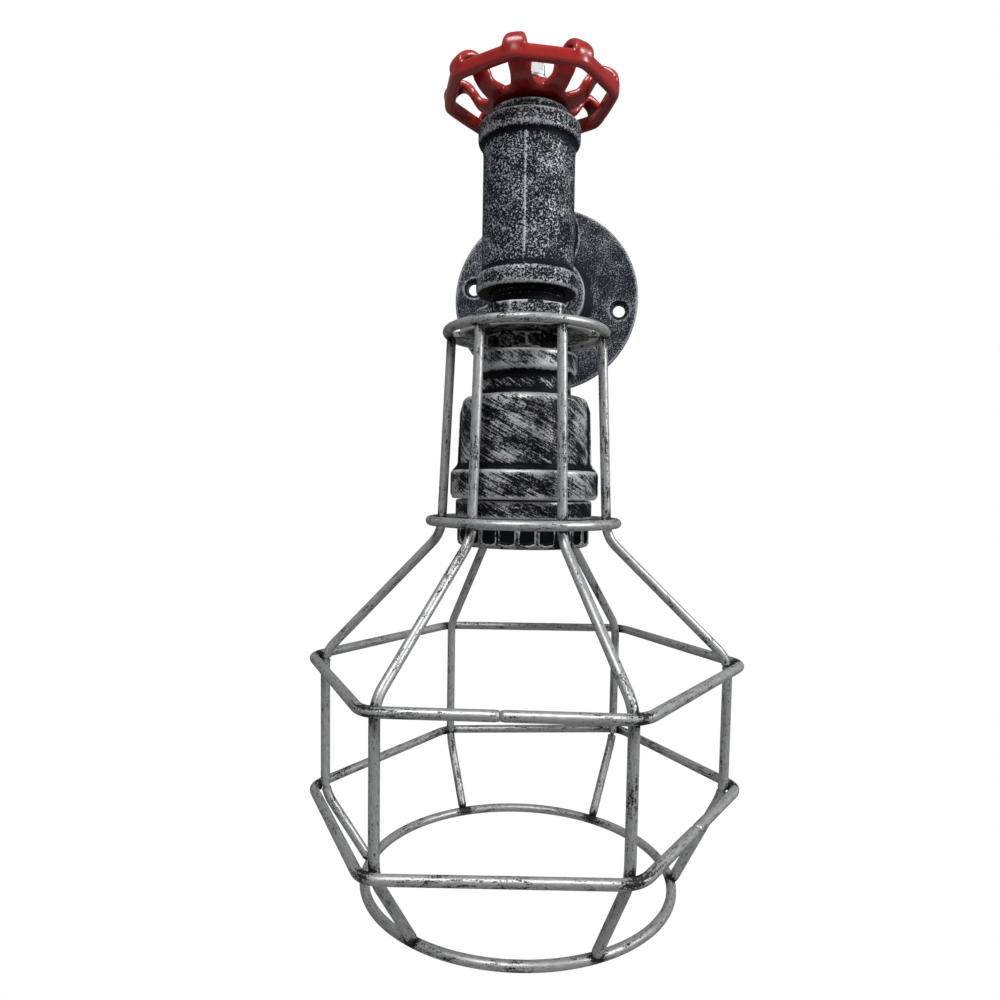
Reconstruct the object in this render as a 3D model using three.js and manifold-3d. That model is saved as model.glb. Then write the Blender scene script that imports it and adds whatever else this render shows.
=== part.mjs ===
// Industrial pipe wall light: a cast wall flange, a short nipple and a tee carry a hanging column of
// fittings with an E27 lampholder, a geometric wire cage round it and a red valve handwheel on top.
// Millimetres, +Z up. The origin is the centre of the wall flange's back face, and the wall is at +Y.
import * as THREE from "three";
import { mergeVertices } from "three/addons/utils/BufferGeometryUtils.js";
import Module from "manifold-3d";

const wasm = await Module();
wasm.setup();

// ---- driving dimensions ----
const GAP = 0.3; // between pieces that touch, and all round a thread or a shaft
const COLUMN_OUT = 130; // wall to the axis of the hanging column

// pipe threads and the hollow lamp tube
const THREAD_D = 26.4; // 3/4 inch pipe thread
const THREAD_DEPTH = 15;
const PIPE_BORE_D = 20.9;
const LAMP_TUBE_D = 10; // M10 hollow threaded tube
const LAMP_TUBE_BORE_D = 7.6;

// wall flange
const PLATE_D = 96;
const PLATE_T = 5;
const HUB_WALL = 7; // metal round the hub's thread
const HUB_RISE = 10; // from the plate's face to the hub's rim
const HUB_FILLET = 3.5;
const SCREW_CIRCLE_D = 77.4;
const SCREW_HOLE_D = 6.2;
const SCREW_SINK_D = 10.8;
const SCREW_COUNT = 4;
const SCREW_TURN = THREE.MathUtils.degToRad(9);
const EARTH_POCKET_T = 3.4;
const EARTH_SCREW_D = 4;
const EARTH_SCREW_L = 8;
const EARTH_HEAD_D = 4.9;
const EARTH_HEAD_T = 1.9;
const EARTH_HEAD_CLEAR = 0.7; // room round the screw's head, inwards and outwards

// tee
const TEE_RUN = 59.6;
const TEE_BRANCH = 33; // column axis to the branch's face
const TEE_WALL = 3;
const TEE_CORE_D = 22;
const BAND_WALL = 4.9;
const BAND_H = 5.9;
const BAND_SHOULDER = 5;
const EDGE = 0.8; // broken edge of a cast band

// bushing and valve handle on top
const BUSH_HEAD_LIP = 0.8; // head past the tee's bore, on which it seats
const BUSH_HEAD_T = 4.4;
const BUSH_SHANK = 11.5;
const STEM_D = 8;
const STEM_COLLAR_D = 13;
const STEM_COLLAR_T = 3.5;
const STEM_STUD_D = 5.6;
const STEM_STUD_L = 6.6; // stud above the wheel's hub
const WHEEL_LIFT = 1.4; // bushing to the wheel's hub
const WHEEL_R = 32.4; // to the rim's outer corners
const WHEEL_LOBES = 8;
const WHEEL_TURN = THREE.MathUtils.degToRad(-6); // as the wheel is left; it turns freely
const RIM_W = 3.9;
const RIM_H = 5;
const RIM_LIFT = 2.4; // hub's foot to the rim's foot
const WHEEL_HUB_D = 15;
const WHEEL_HUB_H = 9.5;
const WHEEL_WEB_D = 31;
const WHEEL_WEB_T = 4;
const SPOKE_W = 6.6;
const SPOKE_T = 3.8;
const SPOKE_DROP = 0.8; // a spoke's top above the web, where it leaves the hub
const LOBE_RISE = 7; // a spoke's arch above the rim
const LOBE_INSET = 2.9; // the arch's crest inside the rim
const LOBE_T = 2.8; // the arch's thickness
const LOBE_FALL = 0.8; // the arch rounds off by this much beside its crest
const CAST_BITE = 2; // how far the parts of one casting run into each other
const WASHER_D = 13;
const WASHER_T = 1.2;
const WHEEL_NUT_AF = 10;
const WHEEL_NUT_H = 4.6;

// plugs that clamp the cage's disc
const UPPER_HEX_OVER = 2.5; // each flat past the thread
const UPPER_HEX_TURN = THREE.MathUtils.degToRad(-15); // a corner's angle from the front, towards +X
const UPPER_HEX_H = 7.5;
const UPPER_NECK = 5.2; // bare thread between the tee and the hexagon
const LOWER_HEX_AF = 28;
const LOWER_HEX_TURN = THREE.MathUtils.degToRad(5);
const LOWER_HEX_H = 6;
const LOWER_THREAD_D = 24;
const PLUG_SHANK = 11;
const TUBE_NUT_AF = 14;
const TUBE_NUT_H = 4;
const TUBE_END = 2.6; // tube past its upper nut

// wire cage
const WIRE_D = 3.4;
const DISC_D = 47.4;
const DISC_T = 2;
const DISC_TAB_W = 4;
const SPOKES = 6;
const NECK_CLEAR = 1.4; // a spoke's leg past the reducing coupling's rim
const NECK_RING_DROP = 67.4; // below the top ring, as are the other drops
const UPPER_HEX_R = 78.5;
const UPPER_HEX_LEAN = 0.02; // rise per millimetre towards +X: they were welded on a little crooked
const UPPER_HEX_DROP = 118;
const LOWER_HEX_R = 77.8;
const LOWER_HEX_DROP = 164.3;
const LOWER_HEX_LEAN = 0.055;
const BOTTOM_RING_R = 54.9;
const BOTTOM_RING_DROP = 195.3;
const CORNER_BEND = 6;
const SPOKE_BEND = 5;
const SPOKE_TOP_INSET = 1.1; // a spoke's top inside the top ring's centre line
const UPPER_JOINT_SIDE = 0; // side of the hexagon that holds the butt joint, counted from the front
const LOWER_JOINT_SIDE = 1;

// reducing coupling
const REDUCER_BAND_H = 6.7;
const REDUCER_NECK_D = 32.8;
const REDUCER_NECK_H = 8.8;
const REDUCER_NECK_BEVEL = 1.4;
const REDUCER_WALL = 2.6;
const REDUCER_FLARE = 0.6; // body's foot past its shoulder
const REDUCER_BODY_H = 26.3;
const REDUCER_SHOULDER_R = 6;
const REDUCER_RIM_OUT = 3.5; // rim past the body's foot
const REDUCER_RIM_H = 10;
const REDUCER_RIM_BEVEL = 1.6;
const REDUCER_THROAT_D = 28;
const HOLDER_CLEAR = 1; // between the lampholder and the coupling's cavity
const REDUCER_RIB_W = 4.4;
const REDUCER_RIB_RISE = 1;

// lampholder
const HOLDER_D = 38;
const HOLDER_BORE_D = 29.2;
const HOLDER_FLOOR = 5.7;
const COLLAR_WALL = 5.2;
const COLLAR_H = 6.3;
const SHADE_RING_WALL = 4.5;
const SHADE_RING_H = 9.8;
const SHADE_RING_ROUND = 2.2;
const SHADE_RING_RECESS = 1.4; // holder's mouth above the ring's foot
const SHELL_WALL = 0.8;
const SHELL_SETBACK = 3.4; // shell's mouth above the holder's mouth
const SHELL_TOP_HOLE_D = 15;
const CONTACT_W = 5;
const CONTACT_T = 0.8;
const CONTACT_CLEAR = 1.9; // tongue to the shell's top hole
const CONTACT_SPRING = 6; // the tongue's tip below its seat
const CONTACT_RIVET_D = 3;
const RIVET_OUT = 2.4;
const CAP_SIDE = 5.4; // straight side, below the cone
const CAP_SLOPE = 0.6; // the cone's rise for each millimetre inwards
const CAP_WALL = 2;
const CAP_BOSS_D = 16;
const CAP_BOSS_H = 4.5;
const TERMINAL_W = 7;
const TERMINAL_D = 5;
const TERMINAL_H = 5;
const TERMINAL_OUT = 8.5; // column axis to a terminal
const TERMINAL_SCREW_D = 2.6;
const TERMINAL_SCREW_L = 3.4;

// internal leads
const LEAD_D = 2;
const LEAD_SPACING = 3.4;
const LEAD_RISE = 1.2; // straight up out of a terminal
const LEAD_BEND = 13;
const LEAD_END_IN = 1; // cut end inside the flange's back face

// facets and tools
const FINE = 36; // sides of the large turned pieces
const MEDIUM = 24;
const SMALL = 16;
const TINY = 12;
const WIRE_SIDES = 8;
const PAST = 1; // a cutting tool runs this far past the face that it opens

// ---- materials ----
const finish = (color, roughness, metalness) =>
  new THREE.MeshStandardMaterial({ color, roughness, metalness });
const hammered = finish(0x3a3d42, 0.55, 0.6);
const brushedBlack = finish(0x55585c, 0.5, 0.7);
const wirePaint = finish(0x85888a, 0.4, 0.8);
const redEnamel = finish(0xa01414, 0.25, 0.1);
const zincSteel = finish(0xb4b6b8, 0.35, 1);
const nickelBrass = finish(0xc9b98a, 0.3, 1);
const blackBakelite = finish(0x16161a, 0.45, 0);
const brownSleeve = finish(0x5a3014, 0.6, 0);
const blueSleeve = finish(0x1b3f8f, 0.6, 0);

// ---- solids ----
// A closed three.js geometry as a manifold solid, with its faces turned outwards.
function solid(geometry) {
  const bare = new THREE.BufferGeometry();
  bare.setAttribute("position", geometry.getAttribute("position"));
  if (geometry.index) bare.setIndex(geometry.index);
  const merged = mergeVertices(bare, 1e-4);
  const index = merged.index.array;
  const kept = [];
  for (let i = 0; i < index.length; i += 3) {
    const [a, b, c] = [index[i], index[i + 1], index[i + 2]];
    if (a !== b && b !== c && c !== a) kept.push(a, b, c);
  }
  const build = (triangles) =>
    new wasm.Manifold(
      new wasm.Mesh({
        numProp: 3,
        vertProperties: merged.attributes.position.array,
        triVerts: new Uint32Array(triangles),
      }),
    );
  const made = build(kept);
  return made.volume() < 0 ? build(kept.reverse()) : made;
}

const join = (first, ...rest) => rest.reduce((sum, next) => sum.add(next), first);
const cut = (first, ...rest) => rest.reduce((left, next) => left.subtract(next), first);

// A profile of [radius, height] points turned about Z.
const turned = (profile, sides = FINE) =>
  solid(
    new THREE.LatheGeometry(
      profile.map(([r, h]) => new THREE.Vector2(r, h)),
      sides,
    ).rotateX(Math.PI / 2),
  );
const rod = (diameter, low, high, sides = SMALL) =>
  turned([[0, low], [diameter / 2, low], [diameter / 2, high], [0, high]], sides);
const ring = (outer, inner, low, high, sides = FINE) =>
  turned(
    [[inner / 2, low], [outer / 2, low], [outer / 2, high], [inner / 2, high], [inner / 2, low]],
    sides,
  );

// A hexagonal bar across flats, with a corner to the front (-Y) unless it is turned towards +X.
function hexBar(acrossFlats, low, high, turn = 0) {
  const corner = acrossFlats / Math.sqrt(3);
  const bar = new THREE.CylinderGeometry(corner, corner, high - low, 6)
    .rotateX(Math.PI / 2)
    .rotateZ(turn)
    .translate(0, 0, (low + high) / 2);
  return solid(bar);
}

const box = (width, depth, height, x, y, z) =>
  solid(new THREE.BoxGeometry(width, depth, height).translate(x, y, z));

// A flat bar whose side outline is [distance from the axis, height], standing out to the front (-Y).
function sideBar(outline, width) {
  const shape = new THREE.Shape(outline.map(([r, h]) => new THREE.Vector2(r, h)));
  const bar = new THREE.ExtrudeGeometry(shape, { depth: width, bevelEnabled: false, curveSegments: 6 });
  const upright = new THREE.Matrix4().makeBasis(
    new THREE.Vector3(0, -1, 0),
    new THREE.Vector3(0, 0, 1),
    new THREE.Vector3(-1, 0, 0),
  );
  return solid(bar.applyMatrix4(upright).translate(width / 2, 0, 0));
}

const spunAboutZ = (body, angle) => body.rotate([0, 0, THREE.MathUtils.radToDeg(angle)]);

// A point at an angle from the front (-Y) towards +X.
const polar = (radius, angle, z) =>
  new THREE.Vector3(radius * Math.sin(angle), -radius * Math.cos(angle), z);

// A wire's centre line through its bends: its parameter runs evenly over the listed points.
class BentWire extends THREE.Curve {
  constructor(points) {
    super();
    this.points = points;
  }
  getPoint(t) {
    const place = Math.min(Math.max(t, 0), 1) * (this.points.length - 1);
    const i = Math.min(Math.floor(place), this.points.length - 2);
    return this.points[i].clone().lerp(this.points[i + 1], place - i);
  }
  getPointAt(u) {
    return this.getPoint(u);
  }
  getTangentAt(u) {
    const step = 0.5 / (this.points.length - 1);
    return this.getPoint(u + step).sub(this.getPoint(u - step)).normalize();
  }
}

// Corners joined by short curved bends.
function bendPoints(corners, bend, perBend = 4) {
  const points = [corners[0]];
  for (let i = 1; i < corners.length - 1; i++) {
    const before = corners[i - 1].clone().sub(corners[i]).normalize();
    const after = corners[i + 1].clone().sub(corners[i]).normalize();
    const start = corners[i].clone().addScaledVector(before, bend);
    const end = corners[i].clone().addScaledVector(after, bend);
    points.push(...new THREE.QuadraticBezierCurve3(start, corners[i], end).getPoints(perBend));
  }
  points.push(corners.at(-1));
  return points;
}

function wire(points, diameter) {
  const section = new THREE.Shape();
  for (let i = 0; i < WIRE_SIDES; i++) {
    const angle = ((i + 0.5) / WIRE_SIDES) * 2 * Math.PI;
    const [x, y] = [(diameter / 2) * Math.cos(angle), (diameter / 2) * Math.sin(angle)];
    if (i) section.lineTo(x, y);
    else section.moveTo(x, y);
  }
  section.closePath();
  return solid(
    new THREE.ExtrudeGeometry(section, {
      steps: points.length - 1,
      extrudePath: new BentWire(points),
      bevelEnabled: false,
    }),
  );
}

const hoop = (radius, z) =>
  solid(new THREE.TorusGeometry(radius, WIRE_D / 2, WIRE_SIDES, FINE).translate(0, 0, z));

// ---- assembly ----
const light = new THREE.Group();
const wallSide = new THREE.Group(); // its own +Z points out of the wall
wallSide.rotation.x = Math.PI / 2;
const column = new THREE.Group(); // hangs on the column axis, with z = 0 at the tee's branch
column.position.y = -COLUMN_OUT;
light.add(wallSide, column);

function piece(group, name, body, material) {
  const made = body.getMesh();
  const geometry = new THREE.BufferGeometry();
  geometry.setAttribute("position", new THREE.BufferAttribute(made.vertProperties, 3));
  geometry.setIndex(new THREE.BufferAttribute(made.triVerts, 1));
  geometry.computeVertexNormals();
  const mesh = new THREE.Mesh(geometry, material);
  mesh.name = name;
  group.add(mesh);
}

const femaleBore = THREAD_D + 2 * GAP;
const bandD = femaleBore + 2 * BAND_WALL;
const teeBodyD = femaleBore + 2 * TEE_WALL;

// wall flange: a cast plate with a threaded hub, countersunk screw holes and an earth pocket behind
const hubD = femaleBore + 2 * HUB_WALL;
const hubTop = PLATE_T + HUB_RISE;
const earthR = THREAD_D / 2 + EARTH_HEAD_CLEAR + EARTH_HEAD_D / 2;
const earthPocketD = 2 * (earthR + EARTH_HEAD_D / 2 + EARTH_HEAD_CLEAR);
const earthHoleTop = EARTH_POCKET_T + EARTH_SCREW_L;
function wallFlange() {
  const fillet = new THREE.QuadraticBezierCurve(
    new THREE.Vector2(hubD / 2 + HUB_FILLET, PLATE_T),
    new THREE.Vector2(hubD / 2, PLATE_T),
    new THREE.Vector2(hubD / 2, PLATE_T + HUB_FILLET),
  );
  const casting = turned([
    [0, 0],
    [PLATE_D / 2, 0],
    [PLATE_D / 2, PLATE_T - EDGE],
    [PLATE_D / 2 - EDGE, PLATE_T],
    ...fillet.getPoints(3).map((p) => [p.x, p.y]),
    [hubD / 2, hubTop - EDGE],
    [hubD / 2 - EDGE, hubTop],
    [0, hubTop],
  ]);
  const thread = rod(femaleBore, EARTH_POCKET_T, hubTop + PAST, MEDIUM);
  const pocket = rod(earthPocketD, -PAST, EARTH_POCKET_T, MEDIUM);
  const earthHole = rod(EARTH_SCREW_D + 2 * GAP, 0, earthHoleTop, TINY).translate(0, -earthR, 0);
  const sinkDepth = (SCREW_SINK_D - SCREW_HOLE_D) / 2;
  const holes = [];
  for (let i = 0; i < SCREW_COUNT; i++) {
    const angle = SCREW_TURN + (i / SCREW_COUNT) * 2 * Math.PI;
    const hole = turned(
      [
        [0, -PAST],
        [SCREW_HOLE_D / 2, -PAST],
        [SCREW_HOLE_D / 2, PLATE_T - sinkDepth],
        [SCREW_SINK_D / 2, PLATE_T],
        [SCREW_SINK_D / 2, PLATE_T + PAST],
        [0, PLATE_T + PAST],
      ],
      SMALL,
    );
    const [x, y] = [Math.cos(angle), -Math.sin(angle)];
    holes.push(hole.translate((x * SCREW_CIRCLE_D) / 2, (y * SCREW_CIRCLE_D) / 2, 0));
  }
  return cut(casting, thread, pocket, earthHole, ...holes);
}
piece(wallSide, "wall_flange", wallFlange(), hammered);

const earthHeadTop = EARTH_POCKET_T - GAP;
const earthScrew = join(
  rod(EARTH_HEAD_D, earthHeadTop - EARTH_HEAD_T, earthHeadTop, SMALL),
  rod(EARTH_SCREW_D, earthHeadTop - PAST, earthHoleTop - GAP, TINY),
);
piece(wallSide, "earth_screw", earthScrew.translate(0, -earthR, 0), nickelBrass);

// wall nipple: a length of pipe screwed into the flange's hub and the tee's branch
const nippleLow = EARTH_POCKET_T + GAP;
const nippleHigh = COLUMN_OUT - TEE_BRANCH + THREAD_DEPTH - GAP;
piece(wallSide, "wall_nipple", ring(THREAD_D, PIPE_BORE_D, nippleLow, nippleHigh, MEDIUM), hammered);

// tee: run upright on the column axis, branch towards the wall
function bandedEnd(length) {
  const bandFoot = length - BAND_H;
  const shoulder = new THREE.QuadraticBezierCurve(
    new THREE.Vector2(teeBodyD / 2, bandFoot - BAND_SHOULDER),
    new THREE.Vector2(teeBodyD / 2, bandFoot - BAND_SHOULDER / 4),
    new THREE.Vector2(bandD / 2, bandFoot),
  );
  return [
    ...shoulder.getPoints(2).map((p) => [p.x, p.y]),
    [bandD / 2, length - EDGE],
    [bandD / 2 - EDGE, length],
  ];
}
const halfRun = TEE_RUN / 2;
function teeFitting() {
  const half = bandedEnd(halfRun);
  const mirrored = half.map(([r, h]) => [r, -h]).reverse();
  const run = turned([[0, -halfRun], ...mirrored, ...half, [0, halfRun]]);
  const branch = turned([[0, 0], [teeBodyD / 2, 0], ...bandedEnd(TEE_BRANCH), [0, TEE_BRANCH]]);
  const runBore = join(
    rod(TEE_CORE_D, -halfRun, halfRun, MEDIUM),
    rod(femaleBore, -halfRun - PAST, -halfRun + THREAD_DEPTH, MEDIUM),
    rod(femaleBore, halfRun - THREAD_DEPTH, halfRun + PAST, MEDIUM),
  );
  const branchBore = join(
    rod(TEE_CORE_D, 0, TEE_BRANCH, MEDIUM),
    rod(femaleBore, TEE_BRANCH - THREAD_DEPTH, TEE_BRANCH + PAST, MEDIUM),
  );
  const toWall = [-90, 0, 0];
  return cut(join(run, branch.rotate(toWall)), runBore, branchBore.rotate(toWall));
}
piece(column, "tee", teeFitting(), hammered);

// top bushing: closes the tee's top and guides the valve stem
const bushLow = halfRun + GAP;
const bushTop = bushLow + BUSH_HEAD_T;
const bushFoot = bushLow - BUSH_SHANK;
const bushHeadD = femaleBore + 2 * BUSH_HEAD_LIP;
const stemBore = STEM_D + 2 * GAP;
const bushing = cut(
  join(
    rod(bushHeadD, bushLow, bushTop, MEDIUM),
    rod(THREAD_D, bushFoot, bushLow + CAST_BITE, MEDIUM),
  ),
  rod(stemBore, bushFoot - PAST, bushTop + PAST),
);
piece(column, "top_bushing", bushing, hammered);

// valve stem: a collar under the bushing, the wheel's seat, and a stud for its nut
const hubFoot = bushTop + WHEEL_LIFT;
const hubTopZ = hubFoot + WHEEL_HUB_H;
const collarTop = bushFoot - GAP;
const stem = join(
  rod(STEM_COLLAR_D, collarTop - STEM_COLLAR_T, collarTop),
  rod(STEM_D, collarTop - CAST_BITE, hubTopZ - 2 * GAP),
  rod(STEM_STUD_D, hubTopZ - CAST_BITE, hubTopZ + STEM_STUD_L),
);
piece(column, "valve_stem", stem, zincSteel);

// handwheel: an eight-sided rim hung under arched spokes, with a webbed hub
const studHole = STEM_STUD_D + 2 * GAP;
const rimFoot = hubFoot + RIM_LIFT;
const rimTop = rimFoot + RIM_H;
function handwheel() {
  const cornerInner = WHEEL_R - RIM_W;
  const rim = turned(
    [
      [cornerInner, rimFoot],
      [WHEEL_R - EDGE, rimFoot],
      [WHEEL_R, rimFoot + EDGE],
      [WHEEL_R, rimTop - EDGE],
      [WHEEL_R - EDGE, rimTop],
      [cornerInner, rimTop],
      [cornerInner, rimFoot],
    ],
    WHEEL_LOBES,
  );
  const webR = WHEEL_WEB_D / 2;
  const webTop = hubFoot + WHEEL_WEB_T;
  const hub = turned(
    [
      [0, hubFoot],
      [WHEEL_HUB_D / 2, hubFoot],
      [webR, hubFoot + EDGE],
      [webR, webTop],
      [WHEEL_HUB_D / 2, webTop + EDGE],
      [WHEEL_HUB_D / 2, hubTopZ],
      [0, hubTopZ],
    ],
    4 * WHEEL_LOBES,
  );
  // a spoke's side outline: along its underside to the rim, then back over the arch
  const crest = rimTop + LOBE_RISE;
  const crestR = cornerInner - LOBE_INSET;
  const archFoot = crest - LOBE_T;
  const spokeTop = webTop + SPOKE_DROP;
  const bar = sideBar(
    [
      [WHEEL_HUB_D / 2 - CAST_BITE, hubFoot + EDGE],
      [webR + CAST_BITE, hubFoot + EDGE],
      [crestR - SPOKE_T, archFoot - LOBE_T],
      [crestR - LOBE_FALL, archFoot],
      [crestR + LOBE_T / 2, archFoot - LOBE_FALL],
      [cornerInner + PAST, rimTop - PAST],
      [WHEEL_R - EDGE / 2, rimTop - PAST],
      [WHEEL_R, rimTop + EDGE],
      [WHEEL_R - LOBE_T / 2, archFoot],
      [crestR + LOBE_T, crest - LOBE_FALL],
      [crestR, crest],
      [crestR - LOBE_T, crest - LOBE_FALL],
      [webR + PAST, spokeTop],
      [WHEEL_HUB_D / 2 - CAST_BITE, spokeTop],
    ],
    SPOKE_W,
  );
  const spokes = [];
  for (let i = 0; i < WHEEL_LOBES; i++) {
    spokes.push(spunAboutZ(bar, (i / WHEEL_LOBES) * 2 * Math.PI));
  }
  const stemHole = join(
    rod(stemBore, hubFoot - PAST, hubTopZ - GAP),
    rod(studHole, hubTopZ - CAST_BITE, hubTopZ + PAST),
  );
  return spunAboutZ(cut(join(rim, hub, ...spokes), stemHole), WHEEL_TURN);
}
piece(column, "handwheel", handwheel(), redEnamel);

const washerLow = hubTopZ + GAP;
const washerTop = washerLow + WASHER_T;
piece(column, "wheel_washer", ring(WASHER_D, studHole, washerLow, washerTop, SMALL), zincSteel);
const nutLow = washerTop + GAP;
const studCut = rod(studHole, nutLow - PAST, nutLow + WHEEL_NUT_H + PAST);
const wheelNut = cut(hexBar(WHEEL_NUT_AF, nutLow, nutLow + WHEEL_NUT_H), studCut);
piece(column, "wheel_nut", wheelNut, zincSteel);

// hexagon plugs above and below the cage's disc, on the hollow lamp tube
const tubeHole = LAMP_TUBE_D + 2 * GAP;
const upperHexTop = -halfRun - UPPER_NECK;
const upperHexLow = upperHexTop - UPPER_HEX_H;
const upperShankTop = -halfRun + PLUG_SHANK;
const upperHexAF = THREAD_D + 2 * UPPER_HEX_OVER;
const upperPlug = cut(
  join(
    hexBar(upperHexAF, upperHexLow, upperHexTop, UPPER_HEX_TURN),
    rod(THREAD_D, upperHexTop - CAST_BITE, upperShankTop, MEDIUM),
  ),
  rod(tubeHole, upperHexLow - PAST, upperShankTop + PAST),
);
piece(column, "upper_hex_plug", upperPlug, hammered);

const discTop = upperHexLow - GAP;
const discLow = discTop - DISC_T;
const topRingZ = (discTop + discLow) / 2;
const lowerHexTop = discLow - GAP;
const lowerHexLow = lowerHexTop - LOWER_HEX_H;
const lowerShankLow = lowerHexLow - PLUG_SHANK;
const lowerPlug = cut(
  join(
    hexBar(LOWER_HEX_AF, lowerHexLow, lowerHexTop, LOWER_HEX_TURN),
    rod(LOWER_THREAD_D, lowerShankLow, lowerHexLow + CAST_BITE, MEDIUM),
  ),
  rod(tubeHole, lowerShankLow - PAST, lowerHexTop + PAST),
);
piece(column, "lower_hex_plug", lowerPlug, hammered);

function tubeNut(low) {
  const body = hexBar(TUBE_NUT_AF, low, low + TUBE_NUT_H);
  return cut(body, rod(tubeHole, low - PAST, low + TUBE_NUT_H + PAST));
}
const upperNutLow = upperShankTop + GAP;
const lowerNutLow = lowerShankLow - GAP - TUBE_NUT_H;
piece(column, "upper_tube_nut", tubeNut(upperNutLow), zincSteel);
piece(column, "lower_tube_nut", tubeNut(lowerNutLow), zincSteel);
const tubeTop = upperNutLow + TUBE_NUT_H + TUBE_END;

// cage: a tabbed disc, three hoops, two hexagons and six spokes, welded where they meet
const spokeAngle = (i) => ((i + 0.5) / SPOKES) * 2 * Math.PI;
const rimR = HOLDER_D / 2 + HOLDER_CLEAR + REDUCER_WALL + REDUCER_FLARE + REDUCER_RIM_OUT;
const topRingR = rimR + WIRE_D / 2;
const neckRingR = rimR + NECK_CLEAR + WIRE_D + GAP + WIRE_D / 2;
const discTabR = topRingR - WIRE_D / 2 - GAP;
function cageDisc() {
  let disc = rod(DISC_D, discLow, discTop, FINE);
  const tabFrom = DISC_D / 4;
  const tab = box(
    DISC_TAB_W,
    discTabR - tabFrom,
    DISC_T,
    0,
    -(discTabR + tabFrom) / 2,
    topRingZ,
  );
  for (let i = 0; i < SPOKES; i++) disc = disc.add(spunAboutZ(tab, spokeAngle(i)));
  const rounded = rod(2 * discTabR, discLow - PAST, discTop + PAST, FINE);
  return cut(disc.intersect(rounded), rod(tubeHole, discLow - PAST, discTop + PAST));
}
piece(column, "cage_disc", cageDisc(), wirePaint);

const neckRingZ = topRingZ - NECK_RING_DROP;
const upperHexZ = topRingZ - UPPER_HEX_DROP;
const lowerHexZ = topRingZ - LOWER_HEX_DROP;
const bottomRingZ = topRingZ - BOTTOM_RING_DROP;
piece(column, "cage_top_ring", hoop(topRingR, topRingZ), wirePaint);
piece(column, "cage_neck_ring", hoop(neckRingR, neckRingZ), wirePaint);
piece(column, "cage_bottom_ring", hoop(BOTTOM_RING_R, bottomRingZ), wirePaint);

// A hexagon bent from one wire, whose ends meet at the middle of a side.
function hexagon(radius, z, jointSide, lean) {
  const cornerAt = (i) => polar(radius, spokeAngle(i), z + leanRise(lean, radius, spokeAngle(i)));
  const first = cornerAt(jointSide - 1);
  const second = cornerAt(jointSide);
  const middle = first.clone().add(second).divideScalar(2);
  const along = second.clone().sub(first).normalize();
  const corners = [middle.clone().addScaledVector(along, GAP / 2)];
  for (let i = 0; i < SPOKES; i++) corners.push(cornerAt(jointSide + i));
  corners.push(middle.clone().addScaledVector(along, -GAP / 2));
  return wire(bendPoints(corners, CORNER_BEND, 3), WIRE_D);
}
const leanRise = (lean, radius, angle) => lean * radius * Math.sin(angle);
const upperHexagon = hexagon(UPPER_HEX_R, upperHexZ, UPPER_JOINT_SIDE, UPPER_HEX_LEAN);
const lowerHexagon = hexagon(LOWER_HEX_R, lowerHexZ, LOWER_JOINT_SIDE, LOWER_HEX_LEAN);
piece(column, "cage_upper_hexagon", upperHexagon, wirePaint);
piece(column, "cage_lower_hexagon", lowerHexagon, wirePaint);

// A spoke runs under the top ring, inside the neck ring and both hexagons, and onto the bottom ring.
const wireBeside = WIRE_D + GAP;
const cornerInset = CORNER_BEND / 4 + wireBeside;
function cageSpoke(angle) {
  const top = polar(topRingR - SPOKE_TOP_INSET, angle, topRingZ - WIRE_D / 2 - GAP);
  const neck = polar(neckRingR - wireBeside, angle, neckRingZ - SPOKE_BEND);
  const shoulderZ = upperHexZ + leanRise(UPPER_HEX_LEAN, UPPER_HEX_R, angle) + SPOKE_BEND / 3;
  const shoulder = polar(UPPER_HEX_R - cornerInset, angle, shoulderZ);
  const hipR = LOWER_HEX_R - cornerInset;
  const hipZ = lowerHexZ + leanRise(LOWER_HEX_LEAN, LOWER_HEX_R, angle) - SPOKE_BEND / 3;
  const hip = polar(hipR, angle, hipZ);
  const landing = polar(BOTTOM_RING_R, angle, bottomRingZ);
  const inwards = landing.clone().sub(hip).normalize();
  const foot = landing.addScaledVector(inwards, -(WIRE_D / 2 + GAP));
  return wire(bendPoints([top, neck, shoulder, hip, foot], SPOKE_BEND), WIRE_D);
}
for (let i = 0; i < SPOKES; i++) {
  piece(column, `cage_spoke_${i + 1}`, cageSpoke(spokeAngle(i)), wirePaint);
}

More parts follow.
